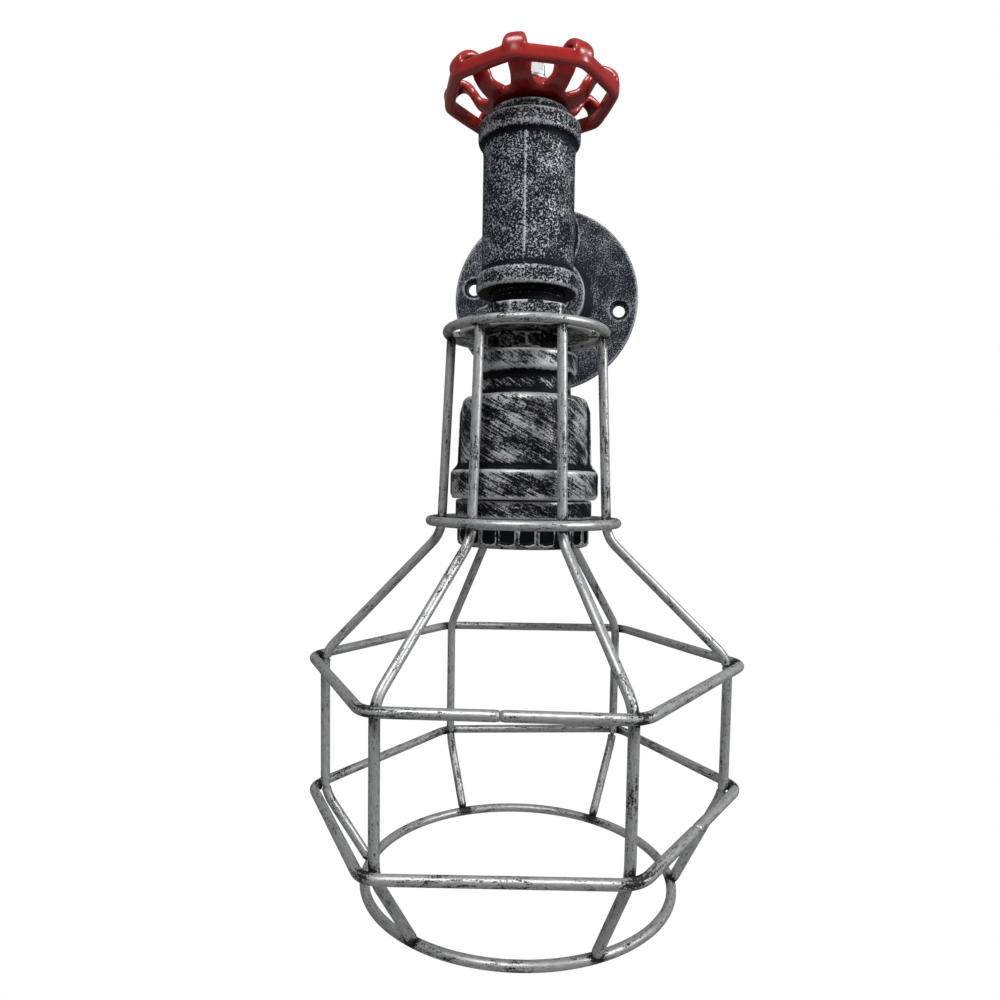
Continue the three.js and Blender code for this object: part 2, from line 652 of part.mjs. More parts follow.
// reducing coupling: its small end takes the lower plug and its wide end houses the lampholder
const reducerTop = lowerHexLow - GAP;
const neckTop = reducerTop - REDUCER_BAND_H;
const bodyTop = neckTop - REDUCER_NECK_H;
const rimTopZ = bodyTop - REDUCER_BODY_H;
const reducerFoot = rimTopZ - REDUCER_RIM_H;
const plugBore = LOWER_THREAD_D + 2 * GAP;
const cavityD = HOLDER_D + 2 * HOLDER_CLEAR;
function reducer() {
  const bodyR = cavityD / 2 + REDUCER_WALL;
  const footR = bodyR + REDUCER_FLARE;
  const neckR = REDUCER_NECK_D / 2;
  const shoulderIn = bodyR - REDUCER_SHOULDER_R;
  const shoulderLow = bodyTop - REDUCER_SHOULDER_R;
  const shoulder = [];
  const steps = 5;
  for (let i = 0; i <= steps; i++) {
    const angle = (i / steps) * (Math.PI / 2);
    shoulder.push([
      shoulderIn + REDUCER_SHOULDER_R * Math.sin(angle),
      shoulderLow + REDUCER_SHOULDER_R * Math.cos(angle),
    ]);
  }
  const outside = [
    [0, reducerTop],
    [bandD / 2 - EDGE, reducerTop],
    [bandD / 2, reducerTop - EDGE],
    [bandD / 2, neckTop],
    [neckR, neckTop - REDUCER_NECK_BEVEL],
    [neckR, bodyTop],
    ...shoulder,
    [footR, rimTopZ + REDUCER_RIM_BEVEL],
    [rimR, rimTopZ - REDUCER_RIM_BEVEL],
    [rimR, reducerFoot + EDGE],
    [rimR - EDGE, reducerFoot],
    [0, reducerFoot],
  ];
  const throat = bodyTop - GAP;
  const wide = throat - (cavityD - REDUCER_THROAT_D) / 2;
  const inside = [
    [0, reducerTop + PAST],
    [plugBore / 2, reducerTop + PAST],
    [plugBore / 2, lowerShankLow - GAP],
    [REDUCER_THROAT_D / 2, throat],
    [cavityD / 2, wide - REDUCER_WALL / 2],
    [cavityD / 2, reducerFoot - PAST],
    [0, reducerFoot - PAST],
  ];
  // a raised rib up each side, for a wrench
  const ribLow = rimTopZ - REDUCER_RIM_BEVEL;
  const knee = Math.PI / 4;
  const ribShoulderR = REDUCER_SHOULDER_R + REDUCER_RIB_RISE;
  const rib = sideBar(
    [
      [neckR - CAST_BITE, ribLow],
      [footR + REDUCER_RIB_RISE, ribLow],
      [bodyR + REDUCER_RIB_RISE, shoulderLow],
      [shoulderIn + ribShoulderR * Math.sin(knee), shoulderLow + ribShoulderR * Math.cos(knee)],
      [shoulderIn, shoulderLow + ribShoulderR],
      [neckR - CAST_BITE, shoulderLow + ribShoulderR],
    ],
    REDUCER_RIB_W,
  );
  const ribs = [Math.PI / 2, -Math.PI / 2].map((angle) => spunAboutZ(rib, angle));
  return cut(join(turned(outside), ...ribs), turned(inside));
}
piece(column, "reducing_coupling", reducer(), brushedBlack);

// lampholder: insulating body, collar and ribbed shade ring, with the E27 shell and its contacts
const collarTopZ = reducerFoot - GAP;
const collarFoot = collarTopZ - COLLAR_H;
const shadeTop = collarFoot - GAP;
const shadeFoot = shadeTop - SHADE_RING_H;
const ringBore = HOLDER_D + 2 * GAP;
const collar = ring(ringBore + 2 * COLLAR_WALL, ringBore, collarFoot, collarTopZ);
piece(column, "holder_collar", collar, brushedBlack);
const shadeR = ringBore / 2 + SHADE_RING_WALL;
const roundKnee = SHADE_RING_ROUND * (1 - Math.SQRT1_2);
const shadeRing = turned([
  [ringBore / 2, shadeFoot],
  [shadeR - SHADE_RING_ROUND, shadeFoot],
  [shadeR - roundKnee, shadeFoot + roundKnee],
  [shadeR, shadeFoot + SHADE_RING_ROUND],
  [shadeR, shadeTop],
  [ringBore / 2, shadeTop],
  [ringBore / 2, shadeFoot],
]);
piece(column, "shade_ring", shadeRing, brushedBlack);

const holderFoot = shadeFoot + SHADE_RING_RECESS;
const capTop = lowerNutLow - GAP;
const capShoulder = capTop - CAP_BOSS_H;
const capBreak = capShoulder - CAP_SLOPE * (HOLDER_D / 2 - CAP_BOSS_D / 2); // the cone's foot
const capFoot = capBreak - CAP_SIDE;
const holderTop = capFoot - GAP;
const holderFloor = holderTop - HOLDER_FLOOR;
const rivetHole = CONTACT_RIVET_D + 2 * GAP;
const holderBody = cut(
  rod(HOLDER_D, holderFoot, holderTop, FINE),
  rod(HOLDER_BORE_D, holderFoot - PAST, holderFloor, FINE),
  rod(rivetHole, holderFloor - PAST, holderTop + PAST, TINY),
);
piece(column, "lampholder_body", holderBody, blackBakelite);

const shellD = HOLDER_BORE_D - 2 * GAP;
const shellFoot = holderFoot + SHELL_SETBACK;
const shellTop = holderFloor - GAP;
const shell = cut(
  rod(shellD, shellFoot, shellTop, MEDIUM),
  rod(shellD - 2 * SHELL_WALL, shellFoot - PAST, shellTop - SHELL_WALL, MEDIUM),
  rod(SHELL_TOP_HOLE_D, shellTop - SHELL_WALL - PAST, shellTop + PAST),
);
piece(column, "threaded_shell", shell, nickelBrass);

// centre contact: a sprung tongue folded back on itself, riveted through the holder's floor
function centreContact() {
  const seat = holderFloor - GAP;
  const reach = SHELL_TOP_HOLE_D / 2 - CONTACT_CLEAR;
  const tip = -reach + 2 * CONTACT_T;
  const tongue = sideBar(
    [
      [-reach, seat],
      [-reach, seat - CONTACT_T],
      [reach - CONTACT_T, seat - CONTACT_T],
      [reach - CONTACT_T, seat - 3 * CONTACT_T],
      [tip, seat - CONTACT_SPRING],
      [tip, seat - CONTACT_SPRING - CONTACT_T],
      [reach, seat - 3.5 * CONTACT_T],
      [reach, seat],
    ],
    CONTACT_W,
  );
  const rivetTop = holderTop + GAP + RIVET_OUT;
  return join(tongue, rod(CONTACT_RIVET_D, seat - CONTACT_T / 2, rivetTop, TINY));
}
piece(column, "centre_contact", centreContact(), nickelBrass);

// terminals and their screws stand on the holder's top, under the cap
const terminalLow = holderTop + GAP;
const terminalMid = terminalLow + TERMINAL_H / 2;
function terminal(side) {
  const block = box(TERMINAL_W, TERMINAL_D, TERMINAL_H, side * TERMINAL_OUT, 0, terminalMid);
  const screwHole = rod(TERMINAL_SCREW_D + 2 * GAP, 0, TERMINAL_D, TINY)
    .rotate([90, 0, 0])
    .translate(side * TERMINAL_OUT, 0, terminalMid);
  return cut(block, screwHole);
}
function terminalScrew(side) {
  const shank = rod(TERMINAL_SCREW_D, GAP, GAP + TERMINAL_SCREW_L, TINY);
  return shank.rotate([90, 0, 0]).translate(side * TERMINAL_OUT, 0, terminalMid);
}
for (const [name, side] of [["live", 1], ["neutral", -1]]) {
  piece(column, `${name}_terminal`, terminal(side), nickelBrass);
  piece(column, `${name}_terminal_screw`, terminalScrew(side), nickelBrass);
}

// cap: closes the holder's top and screws onto the lamp tube
const capR = HOLDER_D / 2;
const capRoof = capShoulder - CAP_WALL;
const cap = cut(
  turned([
    [0, capFoot],
    [capR, capFoot],
    [capR, capBreak],
    [CAP_BOSS_D / 2, capShoulder],
    [CAP_BOSS_D / 2, capTop],
    [0, capTop],
  ]),
  turned(
    [
      [0, capFoot - PAST],
      [capR - CAP_WALL, capFoot - PAST],
      [capR - CAP_WALL, capBreak - CAP_WALL / 2],
      [CAP_BOSS_D / 2 - CAP_WALL / 2, capRoof],
      [0, capRoof],
    ],
    MEDIUM,
  ),
  rod(tubeHole, capRoof - PAST, capTop + PAST),
);
piece(column, "lampholder_cap", cap, blackBakelite);
const tubeLow = capRoof + GAP;
piece(column, "lamp_tube", ring(LAMP_TUBE_D, LAMP_TUBE_BORE_D, tubeLow, tubeTop, SMALL), zincSteel);

// leads: from the terminals up the lamp tube, round into the branch and out through the flange
function lead(side) {
  const x = (side * LEAD_SPACING) / 2;
  const terminalTop = terminalLow + TERMINAL_H + GAP;
  const tubeMouth = new THREE.Vector3(x, 0, tubeTop);
  const inCap = [
    new THREE.Vector3(side * TERMINAL_OUT, 0, terminalTop),
    new THREE.Vector3(side * TERMINAL_OUT, 0, terminalTop + LEAD_RISE),
    new THREE.Vector3(x, 0, tubeLow - LEAD_D / 5),
    tubeMouth,
  ];
  const inTee = [
    tubeMouth,
    new THREE.Vector3(x, 0, 0),
    new THREE.Vector3(x, COLUMN_OUT - LEAD_END_IN, 0),
  ];
  const rise = bendPoints(inCap, LEAD_RISE / 2, 1);
  const turn = bendPoints(inTee, Math.min(LEAD_BEND, -tubeTop), 6);
  return wire([...rise.slice(0, -1), ...turn], LEAD_D);
}
piece(column, "live_lead", lead(1), brownSleeve);
piece(column, "neutral_lead", lead(-1), blueSleeve);

export default light;
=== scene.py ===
import math

import bmesh
import bpy
import numpy as np
from mathutils import Matrix, Vector


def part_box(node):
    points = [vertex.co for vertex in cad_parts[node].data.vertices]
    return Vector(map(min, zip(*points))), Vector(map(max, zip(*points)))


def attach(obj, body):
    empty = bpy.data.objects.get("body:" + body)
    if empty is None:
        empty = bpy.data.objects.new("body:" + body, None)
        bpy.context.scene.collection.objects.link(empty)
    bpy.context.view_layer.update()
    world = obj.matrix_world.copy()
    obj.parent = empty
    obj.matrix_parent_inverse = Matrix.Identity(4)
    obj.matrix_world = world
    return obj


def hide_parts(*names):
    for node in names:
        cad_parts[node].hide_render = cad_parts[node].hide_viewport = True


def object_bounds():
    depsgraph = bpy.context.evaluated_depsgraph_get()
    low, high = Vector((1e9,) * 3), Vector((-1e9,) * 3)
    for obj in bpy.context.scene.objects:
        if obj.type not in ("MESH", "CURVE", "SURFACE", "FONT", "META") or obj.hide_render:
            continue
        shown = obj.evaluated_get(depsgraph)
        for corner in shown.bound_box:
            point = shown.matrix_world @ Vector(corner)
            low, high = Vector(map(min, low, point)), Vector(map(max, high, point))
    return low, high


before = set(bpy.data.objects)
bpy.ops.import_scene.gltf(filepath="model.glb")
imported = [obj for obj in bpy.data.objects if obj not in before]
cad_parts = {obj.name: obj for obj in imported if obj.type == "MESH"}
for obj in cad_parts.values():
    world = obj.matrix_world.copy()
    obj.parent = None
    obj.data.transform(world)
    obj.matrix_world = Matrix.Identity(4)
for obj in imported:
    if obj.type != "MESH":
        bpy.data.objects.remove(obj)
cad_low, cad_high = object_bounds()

# ---- Wall flange ----
# The grey iron casting that is screwed to the wall: a flat round plate with a threaded hub in its middle and
# countersunk screw holes. It is sprayed dark blue-grey, and a fine silver mist is blown over the wet paint.
mm = 0.001


def outline(corners, closed, step=0.8 * mm):
    """Corners (radius, height, rounding) as a dense line of points with rounded corners."""
    spots = [Vector(c[:2]) for c in corners]
    line = []
    for i, spot in enumerate(spots):
        rounding = corners[i][2] if len(corners[i]) > 2 else 0
        ends = not closed and i in (0, len(spots) - 1)
        before, after = spots[i - 1] - spot, spots[(i + 1) % len(spots)] - spot
        cut = min(rounding, 0.48 * before.length, 0.48 * after.length)
        if ends or cut < 0.01 * mm:
            line.append(spot)
            continue
        start, end = spot + before.normalized() * cut, spot + after.normalized() * cut
        for k in range(6):
            t = k / 5
            line.append(start * (1 - t) ** 2 + spot * 2 * t * (1 - t) + end * t * t)
    dense = []
    pairs = zip(line, line[1:] + line[:1]) if closed else zip(line, line[1:])
    for a, b in pairs:
        count = max(1, round((b - a).length / step))
        dense += [a.lerp(b, k / count) for k in range(count)]
    return np.array(dense if closed else dense + [line[-1]])


def new_piece(name, points, faces):
    """A smooth-shaded mesh object from points and faces, with its faces turned outwards."""
    mesh = bpy.data.meshes.new(name)
    mesh.from_pydata(np.asarray(points).tolist(), [], [list(map(int, f)) for f in faces])
    mesh.validate()
    work = bmesh.new()
    work.from_mesh(mesh)
    bmesh.ops.remove_doubles(work, verts=work.verts, dist=0.001 * mm)
    bmesh.ops.recalc_face_normals(work, faces=work.faces)
    work.to_mesh(mesh)
    work.free()
    mesh.shade_smooth()
    piece = bpy.data.objects.new(name, mesh)
    bpy.context.scene.collection.objects.link(piece)
    return piece


def turned(name, corners, closed=True, sides=144, shape=None, place=Matrix.Identity(4), step=0.8 * mm):
    """A profile turned about Z. shape(radius, height, angle) may change each radius; angle 0 is the front."""
    line = outline(corners, closed, step)
    angle = np.arange(sides) / sides * 2 * math.pi
    height = np.repeat(line[:, 1][:, None], sides, 1)
    radius = np.repeat(line[:, 0][:, None], sides, 1)
    if shape:
        radius = shape(radius, height, angle[None, :])
    points = np.stack([radius * np.sin(angle), -radius * np.cos(angle), height], 2).reshape(-1, 3)
    rows = len(line)
    faces = []
    for i in range(rows if closed else rows - 1):
        a, b = i * sides, (i + 1) % rows * sides
        for j in range(sides):
            k = (j + 1) % sides
            faces.append((a + j, a + k, b + k, b + j))
    piece = new_piece(name, points, faces)
    piece.data.transform(place)
    return piece


def apply_modifiers(piece):
    """Makes what the modifiers do the piece's own mesh."""
    bpy.context.view_layer.update()
    shown = piece.evaluated_get(bpy.context.evaluated_depsgraph_get())
    made = bpy.data.meshes.new_from_object(shown)
    piece.modifiers.clear()
    piece.data = made
    made.name = piece.name


def cast(name, solids, cuts=(), voxel=0.5 * mm, softness=4):
    """One casting: solids joined, hollows cut out, and every edge softened as sand and paint soften it."""
    piece = solids[0]
    piece.name = name
    for others, operation in ((solids[1:], "UNION"), (cuts, "DIFFERENCE")):
        for other in others:
            boolean = piece.modifiers.new("boolean", "BOOLEAN")
            boolean.operation, boolean.object, boolean.solver = operation, other, "EXACT"
            apply_modifiers(piece)
            bpy.data.objects.remove(other)
    remesh = piece.modifiers.new("remesh", "REMESH")
    remesh.mode, remesh.voxel_size, remesh.use_smooth_shade = "VOXEL", voxel, True
    smooth = piece.modifiers.new("smooth", "SMOOTH")
    smooth.factor, smooth.iterations = 0.5, softness
    apply_modifiers(piece)
    piece.data.shade_smooth()
    return piece


def mark_edges(piece, spread=3, shade=6):
    """Stores "edge", how sharply each point bends outwards, and "hollow", how near an inward corner is."""
    mesh = piece.data
    count = len(mesh.vertices)
    spots, normals = np.zeros(count * 3), np.zeros(count * 3)
    mesh.vertices.foreach_get("co", spots)
    mesh.vertices.foreach_get("normal", normals)
    spots, normals = spots.reshape(-1, 3), normals.reshape(-1, 3)
    pairs = np.zeros(len(mesh.edges) * 2, int)
    mesh.edges.foreach_get("vertices", pairs)
    a, b = pairs.reshape(-1, 2).T
    along = spots[b] - spots[a]
    square = np.maximum((along**2).sum(1), 1e-12)
    at_a = -2 * (along * normals[a]).sum(1) / square
    at_b = 2 * (along * normals[b]).sum(1) / square
    touching = np.maximum(np.bincount(a, minlength=count) + np.bincount(b, minlength=count), 1)
    bend = (np.bincount(a, at_a, count) + np.bincount(b, at_b, count)) / touching
    full_bend = 1 / (1.4 * mm)

    def spread_out(bend, turns):
        for _ in range(turns):
            near = (np.bincount(a, bend[b], count) + np.bincount(b, bend[a], count)) / touching
            bend = 0.4 * bend + 0.6 * near
        return bend

    rises = spread_out(bend, spread)
    # The hollow mark is deepened and spread wide, so the finishes darken the hollows with painted shade as
    # well as keep paint out of them.
    deepened = np.maximum(np.minimum(rises, 0) * 1.35**shade, -3 * full_bend)
    falls = -spread_out(deepened, shade)
    for label, amount in (("edge", rises), ("hollow", falls)):
        stored = mesh.attributes.new(label, "FLOAT", "POINT")
        stored.data.foreach_set("value", np.clip(amount / full_bend, 0, 1).astype(np.float32))


class Value:
    """A number or colour that varies over a surface. Sums and products of numbers add their Math nodes."""

    def __init__(self, finish, socket):
        self.finish, self.socket = finish, socket

    def math(self, operation, *others):
        numbers = dict(enumerate((self, *others)))
        return self.finish.node("ShaderNodeMath", {"operation": operation}, numbers)

    def __add__(self, other):
        return self.math("ADD", other)

    def __sub__(self, other):
        return self.math("SUBTRACT", other)

    def __mul__(self, other):
        return self.math("MULTIPLY", other)

    __radd__, __rmul__ = __add__, __mul__

    def __rsub__(self, other):
        return (self * -1) + other

    def above(self, limit, softness):
        """1 where this is well over limit and 0 where it is well under, with a soft step between."""
        return self.finish.node(
            "ShaderNodeMapRange",
            {"interpolation_type": "SMOOTHSTEP"},
            {"Value": (self - limit) * (1 / softness), "From Min": -1.0, "From Max": 1.0},
        )


class Finish:
    """A material in the making: one Principled shader and the nodes that drive it."""

    def __init__(self, name):
        self.material = bpy.data.materials.new(name)
        self.material.use_nodes = True
        self.tree = self.material.node_tree
        self.shader = self.tree.nodes["Principled BSDF"]

    def node(self, kind, settings=None, sockets=None, output=0):
        made = self.tree.nodes.new(kind)
        for name, setting in (settings or {}).items():
            setattr(made, name, setting)
        for name, value in (sockets or {}).items():
            self.feed(made.inputs[name], value)
        return Value(self, made.outputs[output])

    def feed(self, socket, value):
        if isinstance(value, Value):
            self.tree.links.new(value.socket, socket)
        elif isinstance(value, tuple) and len(value) == 3 and socket.type == "RGBA":
            socket.default_value = (*value, 1)
        else:
            socket.default_value = value

    def place(self):
        return self.node("ShaderNodeTexCoord", output="Object")

    def mark(self, name, output="Fac"):
        return self.node("ShaderNodeAttribute", {"attribute_name": name}, output=output)

    def noise(self, scale, detail=2.0, roughness=0.5, distortion=0.0, at=None):
        sockets = {"Vector": at or self.place(), "Scale": scale, "Detail": detail}
        sockets.update({"Roughness": roughness, "Distortion": distortion})
        return self.node("ShaderNodeTexNoise", None, sockets)

    def blend(self, amount, first, second):
        """One colour over another: second where amount is 1."""
        amount_socket, first_socket, second_socket, colour_result = 0, 6, 7, 2
        colours = {amount_socket: amount, first_socket: first, second_socket: second}
        return self.node("ShaderNodeMix", {"data_type": "RGBA"}, colours, output=colour_result)

    def scaled(self, vector, x, y, z):
        return self.node("ShaderNodeVectorMath", {"operation": "MULTIPLY"}, {0: vector, 1: (x, y, z)})

    def bump(self, height, distance, strength=1.0):
        sockets = {"Height": height, "Distance": distance, "Strength": strength}
        return self.node("ShaderNodeBump", None, sockets)

    def done(self, **sockets):
        for name, value in sockets.items():
            self.feed(self.shader.inputs[name.replace("_", " ").title().replace("Ior", "IOR")], value)
        return self.material


def speckled(name, black, silver, grain, cover, softness):
    """Black paint under a speckle of silver: thick on edges, and missing from the hollows, which also paints
    shade into them.
    """
    finish = Finish(name)
    flecks = finish.noise(1 / grain, detail=3.0, roughness=0.62, distortion=0.7)
    drift = finish.noise(1 / (8 * mm), detail=3.0)
    edge, hollow = finish.mark("edge"), finish.mark("hollow")
    # The hollow term takes silver away in hollows and corners. This is partly spatter that misses them and
    # partly painted shade.
    level = flecks + (drift - 0.5) * 0.26 + edge * 0.26 - hollow * 0.17
    mask = level.above(cover, softness)
    tone = finish.noise(1 / (2.2 * grain), detail=3.0)
    paint = finish.blend(tone, black, tuple(c * 1.8 for c in black))
    metal = finish.blend(tone, tuple(c * 0.5 for c in silver), silver)
    return finish.done(
        base_color=finish.blend(mask, paint, metal),
        metallic=mask * 0.3,
        roughness=0.58 - mask * 0.14,
        specular_ior_level=0.1,
        normal=finish.bump(flecks * 0.5 + mask * 0.5, 0.12 * mm, 0.55),
    )


def wear(piece, material, node=None, body="fixture"):
    """Gives a piece its finish, and sets it to ride on its body in place of its node in the frame."""
    piece.data.materials.clear()
    piece.data.materials.append(material)
    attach(piece, body)
    if node:
        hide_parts(node)


to_wall = Matrix.Rotation(math.radians(90), 4, "X")  # a turned piece's +Z then points out of the wall
flange_low, flange_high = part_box("wall_flange")
plate_radius = (flange_high.x - flange_low.x) / 2
hub_rise = flange_high.y - flange_low.y
plate_thickness = 5 * mm
hub_radius = 20.5 * mm
nipple_radius = 13.2 * mm
pocket_radius, pocket_depth = 19.5 * mm, 3.4 * mm
flange_body = turned(
    "wall_flange_casting",
    [
        (pocket_radius, 0), (plate_radius, 0, 0.6 * mm), (plate_radius, plate_thickness, 0.9 * mm),
        (hub_radius, plate_thickness, 3.6 * mm), (hub_radius, hub_rise, 1.1 * mm),
        (nipple_radius + 0.3 * mm, hub_rise, 0.8 * mm), (nipple_radius + 0.3 * mm, pocket_depth),
        (pocket_radius, pocket_depth),
    ],
    sides=160, place=to_wall, step=2 * mm,
)
screw_circle, screw_turn = 38.7 * mm, math.radians(9)
sink_radius, hole_radius = 5.4 * mm, 3.1 * mm
screw_cuts = []
for i in range(4):
    angle = screw_turn + i * math.pi / 2
    centre = Matrix.Translation((screw_circle * math.cos(angle), 0, -screw_circle * math.sin(angle)))
    sink = sink_radius - hole_radius
    screw_cuts.append(turned(
        "screw_cut",
        [
            (0, -2 * mm), (hole_radius, -2 * mm), (hole_radius, plate_thickness - sink),
            (sink_radius, plate_thickness), (sink_radius, plate_thickness + 2 * mm),
            (0, plate_thickness + 2 * mm),
        ],
        closed=False, sides=48, place=centre @ to_wall, step=4 * mm,
    ))
flange = cast("wall_flange_casting", [flange_body], screw_cuts, voxel=0.55 * mm, softness=2)
mark_edges(flange)
plate_paint = speckled("plate_paint", (0.007, 0.009, 0.014), (0.50, 0.52, 0.59), 0.62 * mm, 0.58, 0.07)
wear(flange, plate_paint, "wall_flange")

# ---- Wall nipple ----
# A length of 3/4 inch steel pipe between the flange and the tee. Each end has a taper thread, of which one or
# two turns stay in sight, and it is painted with the fittings.
nipple_low, nipple_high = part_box("wall_nipple")
pipe_pitch, pipe_bore = 1.81 * mm, 10.45 * mm
nipple_length = nipple_high.y - nipple_low.y
thread_run = 19 * mm
thread_foot = 12 * mm  # nothing nearer the middle than this is cut


def pipe_thread(ends, pitch=pipe_pitch, depth=0.9 * mm):
    """A screw thread cut into a turned piece between each pair of heights, fading out at both ends."""
    def shape(radius, height, angle):
        for low, high, outer in ends:
            inside = np.clip((height - low) / (1.5 * mm), 0, 1) * np.clip((high - height) / (1.5 * mm), 0, 1)
            wave = np.abs(((height / pitch - angle / (2 * math.pi)) % 1) * 2 - 1)
            radius = radius - np.where(radius > outer, inside * depth * wave, 0)
        return radius
    return shape


nipple = turned(
    "wall_nipple_pipe",
    [
        (pipe_bore, 0, 0.5 * mm), (nipple_radius, 0, 0.6 * mm),
        (nipple_radius, nipple_length, 0.6 * mm), (pipe_bore, nipple_length, 0.5 * mm),
    ],
    sides=96, step=0.3 * mm, place=Matrix.Translation((0, nipple_high.y, 0)) @ to_wall,
    shape=pipe_thread([
        (-2 * mm, thread_run, thread_foot),
        (nipple_length - thread_run - 1 * mm, nipple_length + 2 * mm, thread_foot),
    ]),
)
mark_edges(nipple)
hammer_paint = speckled("hammer_paint", (0.004, 0.005, 0.007), (0.72, 0.74, 0.80), 0.60 * mm, 0.585, 0.05)
wear(nipple, hammer_paint, "wall_nipple")

# ---- Tee ----
# A 3/4 inch malleable iron tee with a thick band round each mouth. The mould's parting line stays as a thin
# raised seam up its front, where the halves of the sand mould met.
tee_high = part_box("tee")[1]
hoop_low, hoop_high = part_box("cage_bottom_ring")
axis = Vector((0, (hoop_low.y + hoop_high.y) / 2, 0))  # the upright line that the column stands about
on_axis = Matrix.Translation(axis)
run_half = tee_high.z
branch_length = tee_high.y - axis.y
band_radius, tee_radius, band_height = 18.4 * mm, 16.5 * mm, 5.9 * mm
bore_radius, core_radius, thread_depth = 13.5 * mm, 11 * mm, 15 * mm
shoulder = 4.6 * mm


def banded(length):
    """The outside of one mouth, from the body out to the banded end."""
    return [
        (tee_radius, length - band_height - shoulder, 2.5 * mm),
        (tee_radius + 0.4 * mm, length - band_height - 1.2 * mm, 0.8 * mm),
        (band_radius, length - band_height, 0.7 * mm),
        (band_radius, length, 1.0 * mm),
    ]


def mouth_bore(length):
    return [(bore_radius, length - thread_depth), (bore_radius, length + 1 * mm), (0, length + 1 * mm)]


lower_half = [(r, -h, *rest) for r, h, *rest in reversed(banded(run_half))]
run = turned(
    "tee_casting", [(0, -run_half), *lower_half, *banded(run_half), (0, run_half)],
    closed=False, sides=128, place=on_axis, step=3 * mm,
)
towards_wall = on_axis @ Matrix.Rotation(math.radians(-90), 4, "X")
branch = turned(
    "branch", [(0, 0), (tee_radius, 0), *banded(branch_length), (0, branch_length)],
    closed=False, sides=128, place=towards_wall, step=3 * mm,
)
run_bore = turned(
    "run_bore",
    [
        (0, -run_half - 1 * mm), (bore_radius, -run_half - 1 * mm), (bore_radius, -run_half + thread_depth),
        (core_radius, -run_half + thread_depth + 2 * mm), (core_radius, run_half - thread_depth - 2 * mm),
        *mouth_bore(run_half),
    ],
    closed=False, sides=96, place=on_axis, step=5 * mm,
)
branch_bore = turned(
    "branch_bore",
    [(0, 0), (core_radius, 0), (core_radius, branch_length - thread_depth), *mouth_bore(branch_length)],
    closed=False, sides=96, place=towards_wall, step=5 * mm,
)
tee = cast("tee_casting", [run, branch], [run_bore, branch_bore], voxel=0.5 * mm, softness=3)
mark_edges(tee)
seam_height, seam_width, seam_silver = 0.30 * mm, 0.36 * mm, 0.62
black_paint_and_shade = 1.6  # a "hollow" mark so strong that the place stays black: painted shade in gaps and under bands, and black paint in pockets
edge_marks, hollow_marks = (tee.data.attributes[name].data for name in ("edge", "hollow"))
for vertex in tee.data.vertices:
    out = vertex.co - axis
    spread = Vector((out.x, out.y)).length
    # The tee's lower mouth, under its lower band, is left fully black: painted shade in the gap above the
    # hexagon plug.
    if out.z < 0.9 * mm - run_half and spread < band_radius - 0.8 * mm:
        hollow_marks[vertex.index].value = black_paint_and_shade
    if abs(out.x) < 3 * seam_width and spread > 15 * mm and abs(out.z) < run_half - band_height - 1 * mm:
        near = math.exp(-((out.x / seam_width) ** 2))
        vertex.co += vertex.normal * seam_height * near
        edge_marks[vertex.index].value = max(edge_marks[vertex.index].value, seam_silver * near)
wear(tee, hammer_paint, "tee")

# ---- Top bushing ----
# An iron bushing screwed into the top of the tee, bored for the valve stem. Its low round head is black, with
# silver caught on its rim.
bush_low, bush_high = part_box("top_bushing")
head_radius = (bush_high.x - bush_low.x) / 2
thread_radius = 13.2 * mm
stem_hole = 4.3 * mm
bushing = turned(
    "top_bushing_casting",
    [
        (stem_hole, bush_low.z, 0.3 * mm), (thread_radius, bush_low.z, 0.8 * mm),
        (thread_radius, run_half + 0.1 * mm), (head_radius, run_half + 0.1 * mm, 0.4 * mm),
        (head_radius, bush_high.z, 1.2 * mm), (stem_hole, bush_high.z, 0.5 * mm),
    ],
    place=on_axis, step=0.6 * mm,
    shape=pipe_thread([(bush_low.z - 2 * mm, run_half - 0.5 * mm, thread_foot)]),
)
mark_edges(bushing)
dark_paint = speckled("dark_paint", (0.006, 0.007, 0.009), (0.36, 0.38, 0.42), 0.9 * mm, 0.60, 0.06)
wear(bushing, dark_paint, "top_bushing")

# ---- Valve stem ----
# A zinc-plated spindle that turns in the bushing. A collar keeps it in from below, and a threaded stud on top
# takes the wheel's nut.
stem_low, stem_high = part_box("valve_stem")
piece_gap = 0.3 * mm  # left between faces that rest on each other
collar_top = bush_low.z - piece_gap
hub_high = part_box("wheel_washer")[0].z - piece_gap
stem_radius, stud_radius = 4 * mm, 2.8 * mm
stud_hole, washer_radius = 3.1 * mm, 6.5 * mm
stem = turned(
    "valve_stem_spindle",
    [
        (0, stem_low.z), (washer_radius, stem_low.z, 0.4 * mm), (washer_radius, collar_top, 0.4 * mm),
        (stem_radius, collar_top, 0.2 * mm), (stem_radius, hub_high - 0.6 * mm, 0.3 * mm),
        (stud_radius, hub_high - 0.3 * mm), (stud_radius, stem_high.z, 0.7 * mm), (0, stem_high.z),
    ],
    closed=False, sides=96, place=on_axis, step=0.2 * mm,
    shape=pipe_thread([(hub_high, stem_high.z + 2 * mm, 2.2 * mm)], 1 * mm, 0.45 * mm),
)
mark_edges(stem)


def plated(name, dark, light, streak):
    """Bright plating: faint blotches, turning lines, and dark brown in its hollows, which is dirt and painted
    shade.
    """
    finish = Finish(name)
    lines = finish.noise(1 / streak, detail=2.0, at=finish.scaled(finish.place(), 1, 1, 7))
    blotch = finish.noise(1 / (5 * mm), detail=3.0)
    hollow = finish.mark("hollow")
    metal = finish.blend(blotch * 0.7 + lines * 0.3, dark, light)
    return finish.done(
        # Dark brown where the hollow mark is high: dirt, and painted shade in the hollows.
        base_color=finish.blend(hollow * 0.8, metal, (0.05, 0.04, 0.03)),
        metallic=1.0 - hollow * 0.5,
        roughness=0.24 + blotch * 0.2,
        normal=finish.bump(lines, 0.02 * mm, 0.4),
    )


zinc = plated("zinc_plating", (0.42, 0.43, 0.45), (0.70, 0.72, 0.74), 1.6 * mm)
wear(stem, zinc, "valve_stem", "valve")

